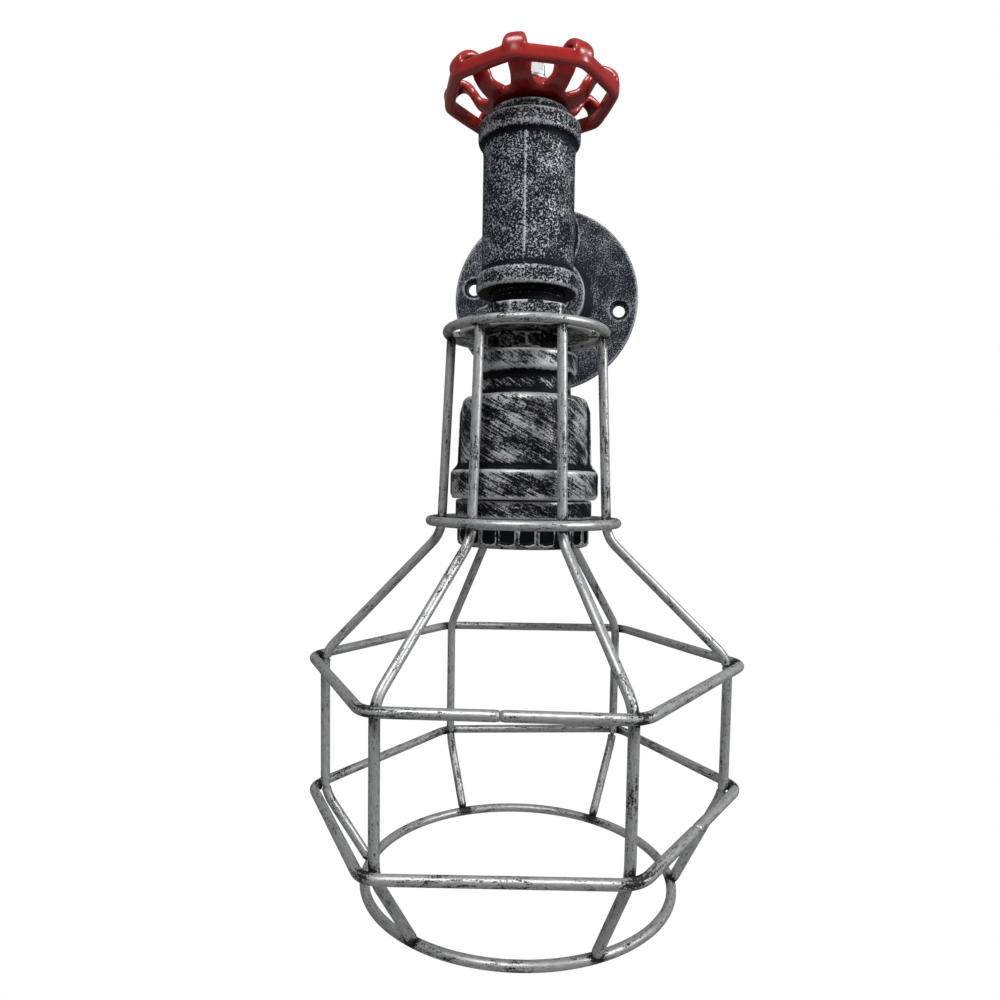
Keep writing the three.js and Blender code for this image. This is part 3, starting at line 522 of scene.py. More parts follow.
# ---- Handwheel ----
# A cast valve wheel with an eight-sided rim. Eight spokes rise from the webbed hub, arch over the rim's
# corners and come down into them. It is dipped in thick, glossy red enamel that rounds every edge.
wheel_low, wheel_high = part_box("handwheel")
lobes, wheel_turn = 8, math.radians(-6)
wheel_radius = 32.4 * mm
rim_width, rim_foot, rim_top = 3.9 * mm, wheel_low.z + 2.4 * mm, wheel_low.z + 7.4 * mm
hub_low = wheel_low.z
crest = wheel_high.z
web_radius, web_top = 15.0 * mm, hub_low + 3.6 * mm


def skin(name, rings, place=Matrix.Identity(4), looped=False):
    """A closed body through a row of rings, each a list of points; its two ends are capped, or joined."""
    rings = np.asarray(rings)
    count, sides = rings.shape[:2]
    faces = []
    for i in range(count if looped else count - 1):
        a, b = i * sides, (i + 1) % count * sides
        for j in range(sides):
            k = (j + 1) % sides
            faces.append((a + j, a + k, b + k, b + j))
    if not looped:
        faces += [tuple(range(sides)), tuple(range((count - 1) * sides, count * sides))]
    piece = new_piece(name, rings.reshape(-1, 3), faces)
    piece.data.transform(place)
    return piece


def oval(width, height, sides=24, fullness=2.6):
    """The points of a rounded bar's section."""
    turn = np.arange(sides) / sides * 2 * math.pi
    circle = np.stack([np.cos(turn), np.sin(turn)], 1)
    return np.sign(circle) * np.abs(circle) ** (2 / fullness) * (width / 2, height / 2)


def smooth_path(points, count):
    """A smooth curve through the points, at even steps of their numbering."""
    points = np.asarray(points, float)
    padded = np.vstack([2 * points[0] - points[1], points, 2 * points[-1] - points[-2]])
    made = []
    for place in np.linspace(0, len(points) - 1, count):
        i = min(int(place), len(points) - 2)
        t = place - i
        p0, p1, p2, p3 = padded[i : i + 4]
        curve = (2 * p0 - 5 * p1 + 4 * p2 - p3) * t**2 + (3 * p1 - p0 - 3 * p2 + p3) * t**3
        made.append(0.5 * (2 * p1 + (p2 - p0) * t + curve))
    return np.array(made)


hub_solid = turned(
    "handwheel_casting",
    [
        (0, hub_low), (7.5 * mm, hub_low, 0.8 * mm), (web_radius, hub_low + 0.8 * mm, 1.5 * mm),
        (web_radius, web_top, 1.5 * mm), (7.8 * mm, web_top + 0.6 * mm, 1 * mm), (7.2 * mm, hub_high, 1 * mm),
        (0, hub_high),
    ],
    closed=False, sides=84, place=on_axis, step=3 * mm,
)
spoke_mid = hub_low + 2.6 * mm
spoke_line = smooth_path(
    [
        (6 * mm, spoke_mid), (13 * mm, spoke_mid), (18 * mm, spoke_mid + 1.6 * mm),
        (20.6 * mm, rim_top + 0.2 * mm), (22.6 * mm, crest - 4.2 * mm), (25.4 * mm, crest - 2.9 * mm),
        (28.6 * mm, crest - 4.2 * mm), (30.2 * mm, rim_top + 0.4 * mm), (29.6 * mm, rim_foot + 1.2 * mm),
    ],
    54,
)
spoke_width, spoke_depth, root_flare = 6.1 * mm, 2.9 * mm, 2.2 * mm
wheel_spokes = []
for i in range(lobes):
    rings = []
    for k, (reach, height) in enumerate(spoke_line):
        ahead = spoke_line[min(k + 1, len(spoke_line) - 1)] - spoke_line[max(k - 1, 0)]
        ahead /= np.linalg.norm(ahead)
        width = spoke_width + root_flare * math.exp(-((max(reach - web_radius, 0) / (3.4 * mm)) ** 1.3))
        if height > rim_foot:
            width += 1.8 * mm * math.exp(-(((height - rim_top) / (2.2 * mm)) ** 2))
        depth = spoke_depth + 1.0 * mm * math.exp(-(((reach - 12 * mm) / (7 * mm)) ** 2))
        section = oval(width, depth, fullness=3.6)
        rings.append([
            (across, -(reach - ahead[1] * up), height + ahead[0] * up) for across, up in section
        ])
    turn = Matrix.Rotation(wheel_turn + i / lobes * 2 * math.pi, 4, "Z")
    wheel_spokes.append(skin("wheel_spoke", rings, on_axis @ turn))
rim_rings = []
corner_rounding = 0.06  # radians, how soon a side turns into the next
rim_mid = wheel_radius - rim_width / 2
rim_steps = lobes * 24
for k in range(rim_steps):
    angle = k / rim_steps * 2 * math.pi
    off = (angle - wheel_turn + math.pi / lobes) % (2 * math.pi / lobes) - math.pi / lobes
    side = math.pi / lobes - math.sqrt(off**2 + corner_rounding**2)
    reach = rim_mid * math.cos(math.pi / lobes) / math.cos(side)
    rim_rings.append([
        ((reach + out) * math.sin(angle), -(reach + out) * math.cos(angle), (rim_foot + rim_top) / 2 + up)
        for out, up in oval(rim_width, rim_top - rim_foot, fullness=3.2)
    ])
rim_solid = skin("wheel_rim", rim_rings, on_axis, looped=True)
stem_bore = turned(
    "stem_bore",
    [
        (0, hub_low - 1 * mm), (stem_hole, hub_low - 1 * mm), (stem_hole, hub_high - 0.6 * mm),
        (stud_hole, hub_high - 0.3 * mm), (stud_hole, hub_high + 1 * mm), (0, hub_high + 1 * mm),
    ],
    closed=False, sides=48, place=on_axis, step=5 * mm,
)
wheel_solids = [hub_solid, rim_solid, *wheel_spokes]
wheel = cast("handwheel_casting", wheel_solids, [stem_bore], voxel=0.4 * mm, softness=7)
mark_edges(wheel)


def enamelled():
    finish = Finish("red_enamel")
    flow = finish.noise(1 / (9 * mm), detail=3.0)
    peel = finish.noise(1 / (1.6 * mm), detail=2.0)
    edge, hollow = finish.mark("edge"), finish.mark("hollow")
    red = finish.blend(flow, (0.30, 0.006, 0.005), (0.46, 0.013, 0.009))
    # Paler pink on the edges: enamel thin there, and a painted highlight.
    thin_enamel_and_highlight = finish.blend(edge * 0.5, red, (0.66, 0.09, 0.07))
    chips = (finish.noise(1 / (2.2 * mm), detail=4.0) + edge * 0.1).above(0.77, 0.02)
    # Chips are real wear. The dark red in the hollows is painted shade.
    chips_shade_and_highlight = finish.blend(chips, finish.blend(hollow * 0.8, thin_enamel_and_highlight, (0.09, 0.002, 0.002)), (0.06, 0.01, 0.01))
    return finish.done(
        base_color=chips_shade_and_highlight,
        roughness=0.24 + peel * 0.14 + chips * 0.3,
        coat_weight=0.4,
        coat_roughness=0.1,
        normal=finish.bump(flow * 0.7 + peel * 0.2, 0.35 * mm, 0.5),
    )


wear(wheel, enamelled(), "handwheel", "valve")

# ---- Wheel washer and nut ----
# A stamped washer and a small chamfered hexagon nut hold the wheel on its stud. Both are zinc-plated steel,
# and they turn with the wheel.
washer_low, washer_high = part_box("wheel_washer")
washer = turned(
    "wheel_washer_ring",
    [
        (stud_hole, washer_low.z, 0.15 * mm), (washer_radius, washer_low.z, 0.35 * mm),
        (washer_radius, washer_high.z, 0.45 * mm), (stud_hole, washer_high.z, 0.15 * mm),
    ],
    sides=96, place=on_axis, step=0.4 * mm,
)


def hexagonal(flats, turn, low, high, steepness=0.9):
    """Cuts a turned bar to a hexagon with a corner at the angle turn, its ends chamfered, less if steep."""
    def shape(radius, height, angle):
        off = (angle - turn) % (math.pi / 3) - math.pi / 6
        flat = flats / 2 / np.cos(off)
        from_end = np.minimum(height - low, high - height)
        cone = flats / 2 * 1.01 + from_end / math.tan(math.radians(30)) * steepness
        slack = 0.01 * mm
        on_bar = (height > low - slack) & (height < high + slack) & (radius > flats / 2 * 0.999)
        return np.where(on_bar, np.minimum(np.minimum(radius, flat), cone), radius)
    return shape


nut_low, nut_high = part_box("wheel_nut")
nut_flats = 10 * mm
nut = turned(
    "wheel_nut_hex",
    [
        (stud_hole, nut_low.z, 0.3 * mm), (nut_flats * 0.6, nut_low.z, 0.02 * mm),
        (nut_flats * 0.6, nut_high.z, 0.02 * mm), (stud_hole, nut_high.z, 0.3 * mm),
    ],
    sides=180, place=on_axis, step=0.2 * mm, shape=hexagonal(nut_flats, 0, nut_low.z, nut_high.z),
)
for piece, node in ((washer, "wheel_washer"), (nut, "wheel_nut")):
    mark_edges(piece, 1)
    wear(piece, zinc, node, "valve")

# ---- Hexagon plugs ----
# Two iron plugs clamp the cage's disc between them: the upper one screws up into the tee, the lower one down
# into the reducing coupling. Their hexagons are worn silver at the corners.
upper_low, upper_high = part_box("upper_hex_plug")
upper_flats, upper_turn, upper_height = 31.4 * mm, math.radians(-15), 7.5 * mm
tube_hole = 5.3 * mm
upper_top = upper_low.z + upper_height
upper_thread = pipe_thread([(upper_top + 0.6 * mm, upper_high.z + 2 * mm, thread_foot)])
upper_hexagon = hexagonal(upper_flats, upper_turn, upper_low.z, upper_top, 2.4)
corner_reach = 0.575  # of the flats: the bar's radius, just inside the hexagon's sharp corners
upper_plug = turned(
    "upper_hex_plug_casting",
    [
        (tube_hole, upper_low.z, 0.3 * mm), (upper_flats * corner_reach, upper_low.z, 0.02 * mm),
        (upper_flats * corner_reach, upper_top, 0.02 * mm), (thread_radius, upper_top, 0.3 * mm),
        (thread_radius, upper_high.z, 0.8 * mm), (tube_hole, upper_high.z, 0.3 * mm),
    ],
    sides=240, place=on_axis, step=0.35 * mm,
    shape=lambda radius, height, angle: upper_thread(upper_hexagon(radius, height, angle), height, angle),
)
lower_low, lower_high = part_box("lower_hex_plug")
lower_flats, lower_turn, lower_height = 28 * mm, math.radians(5), 6 * mm
lower_foot = lower_high.z - lower_height
lower_plug = turned(
    "lower_hex_plug_casting",
    [
        (tube_hole, lower_low.z, 0.3 * mm), (12 * mm, lower_low.z, 0.8 * mm), (12 * mm, lower_foot, 0.3 * mm),
        (lower_flats * corner_reach, lower_foot, 0.02 * mm),
        (lower_flats * corner_reach, lower_high.z, 0.02 * mm),
        (tube_hole, lower_high.z, 0.3 * mm),
    ],
    sides=240, place=on_axis, step=0.35 * mm,
    shape=hexagonal(lower_flats, lower_turn, lower_foot, lower_high.z, 1.6),
)


def brushed(name, black, silver, cover, softness=0.045):
    """Black paint dry-brushed with silver: slanting strokes that load up the edges and miss the hollows,
    which also paints shade into them.
    """
    finish = Finish(name)
    twist = 84.0  # radians per metre: turns each height so that the strokes slant down to the right
    places = {0: finish.place(), 1: tuple(axis)}
    about = finish.node("ShaderNodeVectorMath", {"operation": "SUBTRACT"}, places)
    height = finish.node("ShaderNodeSeparateXYZ", None, {0: about}, output="Z")
    turn = {"Vector": about, "Angle": height * twist}
    straight = finish.node("ShaderNodeVectorRotate", {"rotation_type": "Z_AXIS"}, turn)
    stroke = finish.scaled(straight, 1, 1, 0.2)
    bristles = finish.noise(1 / (0.52 * mm), detail=4.0, roughness=0.72, at=stroke)
    broad = finish.noise(1 / (2.4 * mm), detail=4.0, roughness=0.6, at=stroke)
    patches = finish.noise(1 / (9 * mm), detail=4.0, roughness=0.6)
    grit = finish.noise(1 / (0.6 * mm), detail=3.0)
    edge, hollow = finish.mark("edge"), finish.mark("hollow")
    # The hollow term keeps the hollows black. This is partly strokes that miss them and partly painted shade.
    level = bristles * 0.5 + broad * 0.25 + grit * 0.25 + (patches - 0.5) * 0.38 + edge * 0.2 - hollow * 0.12
    mask = level.above(cover, softness)
    tone = finish.noise(1 / (0.8 * mm), detail=2.0, at=stroke)
    metal = finish.blend(tone, tuple(c * 0.45 for c in silver), silver)
    return finish.done(
        base_color=finish.blend(mask, black, metal),
        metallic=mask * 0.4,
        roughness=0.54 - mask * 0.12,
        specular_ior_level=0.1,
        normal=finish.bump(mask * 0.5 + grit * 0.5, 0.1 * mm, 0.6),
    )


brush_paint = brushed("brush_paint", (0.004, 0.005, 0.007), (0.82, 0.83, 0.86), 0.54)
for piece, node, material in (
    (upper_plug, "upper_hex_plug", hammer_paint),
    (lower_plug, "lower_hex_plug", brush_paint),
):
    mark_edges(piece, 2)
    wear(piece, material, node)
# The plug's thread above its hexagon is left fully black: painted shade in the gap under the tee's lower
# band.
thread_marks = upper_plug.data.attributes["hollow"].data
for vertex in upper_plug.data.vertices:
    if vertex.co.z > upper_top + 0.1 * mm:
        thread_marks[vertex.index].value = black_paint_and_shade

# ---- Wire cage ----
# Bent from 3.4 mm steel wire and spot-welded: a tabbed disc, three round hoops, two hexagons and six spokes.
# It is painted black, then silver, and the silver stays thin in streaks and burnt off at the welds.
wire_radius = 1.7 * mm


def middle(node):
    low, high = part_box(node)
    return (low + high) / 2


hoops = {"cage_top_ring": 28.4 * mm, "cage_neck_ring": 33.5 * mm, "cage_bottom_ring": 54.9 * mm}
level = {node: middle(node).z for node in (*hoops, "cage_upper_hexagon", "cage_lower_hexagon")}
hexagon_radius = {"cage_upper_hexagon": 78.5 * mm, "cage_lower_hexagon": 77.8 * mm}
hexagon_lean = {"cage_upper_hexagon": 0.02, "cage_lower_hexagon": 0.055}  # rise over run towards +X
joint_side = {"cage_upper_hexagon": 0, "cage_lower_hexagon": 1}  # where the wire's two ends meet
corner_bend, spoke_bend, side_by_side = 6 * mm, 5 * mm, 3.7 * mm
seam_gap = 0.12 * mm
spoke_angles = [(i + 0.5) * math.pi / 3 for i in range(6)]


def around(radius, angle, height):
    """A point at an angle from the front towards +X."""
    return axis + Vector((radius * math.sin(angle), -radius * math.cos(angle), height))


def bent(corners, bend, step=1.2 * mm):
    """The centre line of a wire through its corners, with a short bend at each."""
    line = [corners[0]]
    for before, corner, after in zip(corners, corners[1:], corners[2:]):
        start = corner + (before - corner).normalized() * bend
        end = corner + (after - corner).normalized() * bend
        line += [start.lerp(corner, t).lerp(corner.lerp(end, t), t) for t in (k / 8 for k in range(9))]
    line.append(corners[-1])
    dense = []
    for a, b in zip(line, line[1:]):
        count = max(1, round((b - a).length / step))
        dense += [a.lerp(b, k / count) for k in range(count)]
    return dense + [line[-1]]


def wire(name, line, radius=wire_radius, looped=False, sides=20):
    """A round wire along a line. It stores "wrap", the place on the wire's skin as if it were straight."""
    rings, wraps = [], []
    travelled = 0.0
    up = Vector((0, 0, 1))
    count = len(line)
    for i, spot in enumerate(line):
        after = line[(i + 1) % count] if looped else line[min(i + 1, count - 1)]
        before = line[i - 1] if looped else line[max(i - 1, 0)]
        ahead = (after - before).normalized()
        side = ahead.cross(up)
        if side.length < 0.2:
            side = ahead.cross(Vector((0, 1, 0)))
        side.normalize()
        over = side.cross(ahead)
        travelled += (spot - line[i - 1]).length if i else 0
        ends = not looped and i in (0, count - 1)
        size = radius * (0.86 if ends else 1.0)
        turns = [k / sides * 2 * math.pi for k in range(sides)]
        rings.append([spot + (side * math.cos(t) + over * math.sin(t)) * size for t in turns])
        wraps += [(math.cos(t) * radius, math.sin(t) * radius, travelled) for t in turns]
    piece = skin(name, rings, looped=looped)
    stored = piece.data.attributes.new("wrap", "FLOAT_VECTOR", "POINT")
    stored.data.foreach_set("vector", np.array(wraps, np.float32).ravel())
    return piece


def mark_burns(piece, welds, reach=2.6 * mm):
    """Stores "burn", how near each point is to a weld."""
    spots = np.array([v.co for v in piece.data.vertices])
    near = np.zeros(len(spots))
    for weld in welds:
        gap = np.linalg.norm(spots - np.array(weld), axis=1)
        near = np.maximum(near, np.exp(-((gap / reach) ** 2)))
    stored = piece.data.attributes.new("burn", "FLOAT", "POINT")
    stored.data.foreach_set("value", near.astype(np.float32))


def wire_finish():
    finish = Finish("cage_paint")
    wrap = finish.mark("wrap", "Vector")
    streaky = finish.scaled(wrap, 1, 1, 0.16)
    streaks = finish.noise(1 / (0.9 * mm), detail=4.0, roughness=0.65, at=streaky)
    specks = finish.noise(1 / (0.6 * mm), detail=3.0, roughness=0.65)
    patches = finish.noise(1 / (16 * mm), detail=3.0)
    burn = finish.mark("burn")
    level = streaks * 0.55 + specks * 0.45 + (patches - 0.5) * 0.3 + burn * 0.24
    mask = level.above(0.565, 0.05)
    tone = finish.noise(1 / (0.6 * mm), detail=3.0, at=finish.scaled(wrap, 1, 1, 0.3))
    silver = finish.blend(tone, (0.26, 0.265, 0.27), (0.76, 0.77, 0.78))
    return finish.done(
        base_color=finish.blend(mask, silver, (0.012, 0.012, 0.014)),
        metallic=0.55 - mask * 0.5,
        roughness=0.42 + mask * 0.2,
        specular_ior_level=0.4,
        normal=finish.bump(specks * 0.5 - mask * 0.5, 0.06 * mm, 0.7),
    )


cage_paint = wire_finish()
cage_wires, weld_spots = [], []


def hoop_line(radius, height):
    count = round(2 * math.pi * radius / (1.6 * mm))
    return [around(radius, k / count * 2 * math.pi, height) for k in range(count)]


for node, radius in hoops.items():
    cage_wires.append((wire(node + "_wire", hoop_line(radius, level[node]), looped=True), node))


def lean_rise(node, radius, angle):
    return hexagon_lean[node] * radius * math.sin(angle)


for node, radius in hexagon_radius.items():
    angles = [spoke_angles[(joint_side[node] + i) % 6] for i in range(6)]
    ring = [around(radius, angle, level[node] + lean_rise(node, radius, angle)) for angle in angles]
    seam = (ring[0] + ring[-1]) / 2  # where the ends of the wire meet
    along = (ring[0] - ring[-1]).normalized()
    line = bent([seam + along * seam_gap, *ring, seam - along * seam_gap], corner_bend)
    cage_wires.append((wire(node + "_wire", line), node))
inset = corner_bend / 4 + side_by_side
top_ring, neck_ring, bottom_ring = (level[node] for node in hoops)
upper_hex, lower_hex = level["cage_upper_hexagon"], level["cage_lower_hexagon"]
for i, angle in enumerate(spoke_angles):
    top = around(hoops["cage_top_ring"] - 1.1 * mm, angle, top_ring - 1.2 * mm)
    neck = around(hoops["cage_neck_ring"] - side_by_side + 0.25 * mm, angle, neck_ring - spoke_bend)
    hip_radius = hexagon_radius["cage_lower_hexagon"]
    hip_height = lower_hex + lean_rise("cage_lower_hexagon", hip_radius, angle)
    shoulder_radius = hexagon_radius["cage_upper_hexagon"]
    shoulder_height = upper_hex + lean_rise("cage_upper_hexagon", shoulder_radius, angle)
    shoulder = around(shoulder_radius - inset, angle, shoulder_height + spoke_bend / 3)
    hip = around(hip_radius - inset, angle, hip_height - spoke_bend / 3)
    landing = around(hoops["cage_bottom_ring"], angle, bottom_ring)
    foot = landing - (landing - hip).normalized() * wire_radius * 0.9
    line = bent([top, neck, shoulder, hip, foot], spoke_bend)
    cage_wires.append((wire(f"cage_spoke_{i + 1}_wire", line), f"cage_spoke_{i + 1}"))
    weld_spots += [
        top, around(hoops["cage_neck_ring"] - 1.8 * mm, angle, neck_ring),
        around(shoulder_radius - inset / 2, angle, shoulder_height),
        around(hip_radius - inset / 2, angle, hip_height), (landing + foot) / 2,
    ]
for piece, node in cage_wires:
    mark_burns(piece, weld_spots)
    wear(piece, cage_paint, node)

# Spot welds: small squeezed lumps of wire metal where the wires were pressed together.
rng = np.random.default_rng(5)
lumps = []
weld_radius, weld_roughness = 1.3 * mm, 0.12
weld_profile = [
    (0, -weld_radius), (1.0 * mm, -0.9 * mm, 0.4 * mm), (weld_radius, 0, 0.8 * mm),
    (1.0 * mm, 0.9 * mm, 0.4 * mm), (0, weld_radius),
]
for spot in weld_spots:
    lump = turned("weld", weld_profile, closed=False, sides=16, step=0.3 * mm)
    for vertex in lump.data.vertices:
        vertex.co *= 1 + weld_roughness * rng.standard_normal()
    lump.data.transform(Matrix.Translation(spot))
    lumps.append(lump)


def joined(name, parts):
    """Several closed bodies as one piece."""
    points, faces = [], []
    for part in parts:
        shift = len(points)
        points += [tuple(v.co) for v in part.data.vertices]
        faces += [[shift + k for k in face.vertices] for face in part.data.polygons]
        bpy.data.objects.remove(part)
    return new_piece(name, points, faces)


welds = joined("cage_welds", lumps)
mark_burns(welds, weld_spots)
wear(welds, cage_paint)

disc_low, disc_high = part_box("cage_disc")
disc_radius, tab_width, tab_softness = 23.7 * mm, 4 * mm, 0.3 * mm
tab_reach = hoops["cage_top_ring"] - wire_radius


def tabbed(radius, height, angle):
    """Six tabs on the disc's edge reach out to the top hoop."""
    off = (angle % (math.pi / 3)) - math.pi / 6
    across = np.abs(np.sin(off)) * tab_reach
    tab = 1 / (1 + np.exp((across - tab_width / 2) / tab_softness))
    return np.where(radius > disc_radius * 0.9, radius + (tab_reach - disc_radius) * tab, radius)


disc = turned(
    "cage_disc_plate",
    [
        (tube_hole, disc_low.z, 0.1 * mm), (disc_radius, disc_low.z, 0.3 * mm),
        (disc_radius, disc_high.z, 0.3 * mm), (tube_hole, disc_high.z, 0.1 * mm),
    ],
    sides=360, place=on_axis, step=0.8 * mm, shape=tabbed,
)
mark_edges(disc)
mark_burns(disc, [around(tab_reach, angle, middle("cage_disc").z) for angle in spoke_angles])
wear(disc, brush_paint, "cage_disc")

# ---- Lamp tube and its nuts ----
# A hollow M10 tube runs down through both plugs and the disc, with a nut at each end inside the fittings. It
# holds the lampholder's cap, and the leads run up through it.
def finish_kept(node, material):
    """Gives its finish to a piece that stays as the frame has it."""
    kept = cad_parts[node].data
    kept.materials.clear()
    kept.materials.append(material)


for node in ("lamp_tube", "upper_tube_nut", "lower_tube_nut"):
    finish_kept(node, zinc)

# ---- Reducing coupling ----
# A malleable iron bell reducer, hung wide end down. It has a band at each mouth and a rib up each side to
# grip it by, and it is dry-brushed with silver over black.
bell_low, bell_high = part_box("reducing_coupling")
rim_radius = 26.7 * mm
bell_radius, bell_foot_radius = 22.6 * mm, 23.2 * mm
neck_radius = 16.4 * mm
top_band, neck_height, bell_height = 6.7 * mm, 8.8 * mm, 26.3 * mm
neck_top = bell_high.z - top_band
bell_top = neck_top - neck_height
rim_top_level = bell_top - bell_height
cavity_radius = 20 * mm
plug_bore = 12.3 * mm
bell = turned(
    "reducing_coupling_casting",
    [
        (plug_bore, bell_high.z, 0.6 * mm), (band_radius, bell_high.z, 0.9 * mm),
        (band_radius, neck_top, 0.7 * mm), (neck_radius, neck_top - 1.6 * mm, 1.2 * mm),
        (neck_radius, bell_top, 1.2 * mm),
        (bell_radius, bell_top, 7.5 * mm), (bell_foot_radius, rim_top_level + 0.5 * mm, 0.5 * mm),
        (rim_radius - 0.6 * mm, rim_top_level, 0.7 * mm), (rim_radius - 0.6 * mm, bell_low.z, 0.9 * mm),
        (cavity_radius, bell_low.z, 0.6 * mm), (cavity_radius, bell_top - 9 * mm, 2 * mm),
        (13 * mm, bell_top - 1 * mm, 1 * mm), (plug_bore, lower_low.z - piece_gap),
    ],
    sides=144, place=on_axis, step=2.5 * mm,
)
rib_width, rib_rise = 4.4 * mm, 1.0 * mm
bell_casts = [bell]
rib_corner = 6.5 * mm
for side in (-1, 1):
    profile = [
        (rim_radius - 0.9 * mm, bell_low.z + 0.4 * mm), (rim_radius, bell_low.z + 1.5 * mm),
        (rim_radius, rim_top_level - 0.6 * mm), (bell_foot_radius + rib_rise, rim_top_level + 2.4 * mm),
    ]
    for k in range(7):
        lean = k / 6 * math.pi / 2
        reach = bell_radius + rib_rise - rib_corner * (1 - math.cos(lean))
        profile.append((reach, bell_top + 0.6 * mm - rib_corner * (1 - math.sin(lean))))
    rings = []
    for radius, height in profile:
        half = ((neck_radius, -1), (radius - 0.5 * mm, -1), (radius, -0.7))
        section = half + tuple((out, -across) for out, across in reversed(half))
        rings.append([(side * out, across * rib_width / 2, height) for out, across in section])
    bell_casts.append(skin("rib", rings, on_axis))
bell = cast("reducing_coupling_casting", bell_casts, voxel=0.5 * mm, softness=2)
mark_edges(bell)
wear(bell, brush_paint, "reducing_coupling")

# ---- Holder collar ----
# A short plastic collar between the coupling and the shade ring, black with flakes of silver dragged over it.
collar_low, collar_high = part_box("holder_collar")
collar_radius = (collar_high.x - collar_low.x) / 2
ring_bore = 19.3 * mm
collar = turned(
    "holder_collar_ring",
    [
        (ring_bore, collar_low.z, 0.4 * mm), (collar_radius, collar_low.z, 0.9 * mm),
        (collar_radius, collar_high.z, 0.9 * mm), (ring_bore, collar_high.z, 0.4 * mm),
    ],
    sides=160, place=on_axis,
)
mark_edges(collar)
flaked_paint = brushed("flaked_paint", (0.004, 0.005, 0.007), (0.68, 0.69, 0.72), 0.575, 0.025)
wear(collar, flaked_paint, "holder_collar")

# ---- Shade ring ----
# The moulded plastic ring nut at the foot of the lampholder. Finger ribs stand round it between deep pockets,
# and silver is rubbed over the ribs and the bottom edge.
shade_low, shade_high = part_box("shade_ring")
shade_radius = (shade_high.x - shade_low.x) / 2
pocket_count, pocket_sink, pocket_turn = 22, 1.3 * mm, math.radians(8)
pocket_floor = shade_radius - 0.9 * mm


def pocketed(radius, height, angle):
    pitch = 2 * math.pi / pocket_count
    off = np.abs((angle - pocket_turn + pitch / 2) % pitch - pitch / 2) / (pitch / 2)
    across = np.clip((0.74 - off) / 0.12, 0, 1)
    foot = shade_low.z + 1.5 * mm + 1.1 * mm * off**2
    rise = np.clip((height - foot) / (0.6 * mm), 0, 1)
    fall = np.clip((shade_high.z - 0.5 * mm - height) / (0.4 * mm), 0, 1)
    return np.where(radius > ring_bore + 1.5 * mm, radius - pocket_sink * across * rise * fall, radius)


shade = turned(
    "shade_ring_nut",
    [
        (ring_bore, shade_low.z, 0.6 * mm), (shade_radius, shade_low.z, 3.0 * mm),
        (shade_radius, shade_high.z, 0.5 * mm), (ring_bore, shade_high.z, 0.4 * mm),
    ],
    sides=pocket_count * 24, place=on_axis, step=0.4 * mm, shape=pocketed,
)
mark_edges(shade, 2)
# The pocket floors are left fully black: black paint that the silver missed, and painted shade in the deep
# pockets.
pocket_marks = shade.data.attributes["hollow"].data
for vertex in shade.data.vertices:
    reach = (Vector((vertex.co.x, vertex.co.y, 0)) - axis).length
    if ring_bore + 1.5 * mm < reach < pocket_floor and vertex.co.z > shade_low.z + 2 * mm:
        pocket_marks[vertex.index].value = black_paint_and_shade
ring_paint = brushed("ring_paint", (0.003, 0.004, 0.005), (0.68, 0.69, 0.72), 0.575, 0.025)
wear(shade, ring_paint, "shade_ring")

# ---- Lampholder body and cap ----
# The insulating cup of the E27 lampholder, moulded in black bakelite, and the cap that closes its top. Only
# the cup's mouth shows, from below.
holder_low, holder_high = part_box("lampholder_body")
holder_radius, holder_bore, contact_hole = 19 * mm, 14.6 * mm, 1.8 * mm
floor_thickness = 5.7 * mm
holder_floor = holder_high.z - floor_thickness
holder = turned(
    "lampholder_cup",
    [
        (contact_hole, holder_high.z), (holder_radius, holder_high.z, 0.5 * mm),
        (holder_radius, holder_low.z, 1.2 * mm), (holder_bore, holder_low.z, 1.0 * mm),
        (holder_bore, holder_floor, 0.8 * mm), (contact_hole, holder_floor),
    ],
    place=on_axis,
)
mark_edges(holder)


def moulded(name, colour, gloss):
    finish = Finish(name)
    cloud = finish.noise(1 / (6 * mm), detail=4.0)
    grain = finish.noise(1 / (0.5 * mm), detail=2.0)
    lighter = tuple(c * 1.9 + 0.004 for c in colour)
    return finish.done(
        base_color=finish.blend(cloud, colour, lighter),
        roughness=gloss + grain * 0.2,
        normal=finish.bump(grain, 0.02 * mm, 0.5),
    )


bakelite = moulded("bakelite", (0.010, 0.010, 0.011), 0.32)
wear(holder, bakelite, "lampholder_body")
finish_kept("lampholder_cap", bakelite)

# ---- Threaded shell, contact and terminals ----
# The nickel-washed brass shell with its rolled E27 thread, which a bulb screws into, the sprung tongue that
# touches the bulb's tip, and the terminals and screws for the leads and the earth.
shell_low, shell_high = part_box("threaded_shell")
shell_radius, shell_wall, shell_hole = 14.1 * mm, 0.7 * mm, 7.5 * mm
shell_pitch, shell_wave = 3.62 * mm, 0.55 * mm


def rolled(radius, height, angle):
    fade = 1.5 * mm
    starts = np.clip((height - shell_low.z - 1 * mm) / fade, 0, 1)
    inside = starts * np.clip((shell_high.z - 2.5 * mm - height) / fade, 0, 1)
    wave = (1 + np.cos((height / shell_pitch - angle / (2 * math.pi)) * 2 * math.pi)) / 2
    return np.where(radius > shell_radius - 1.2 * mm, radius - inside * shell_wave * wave, radius)


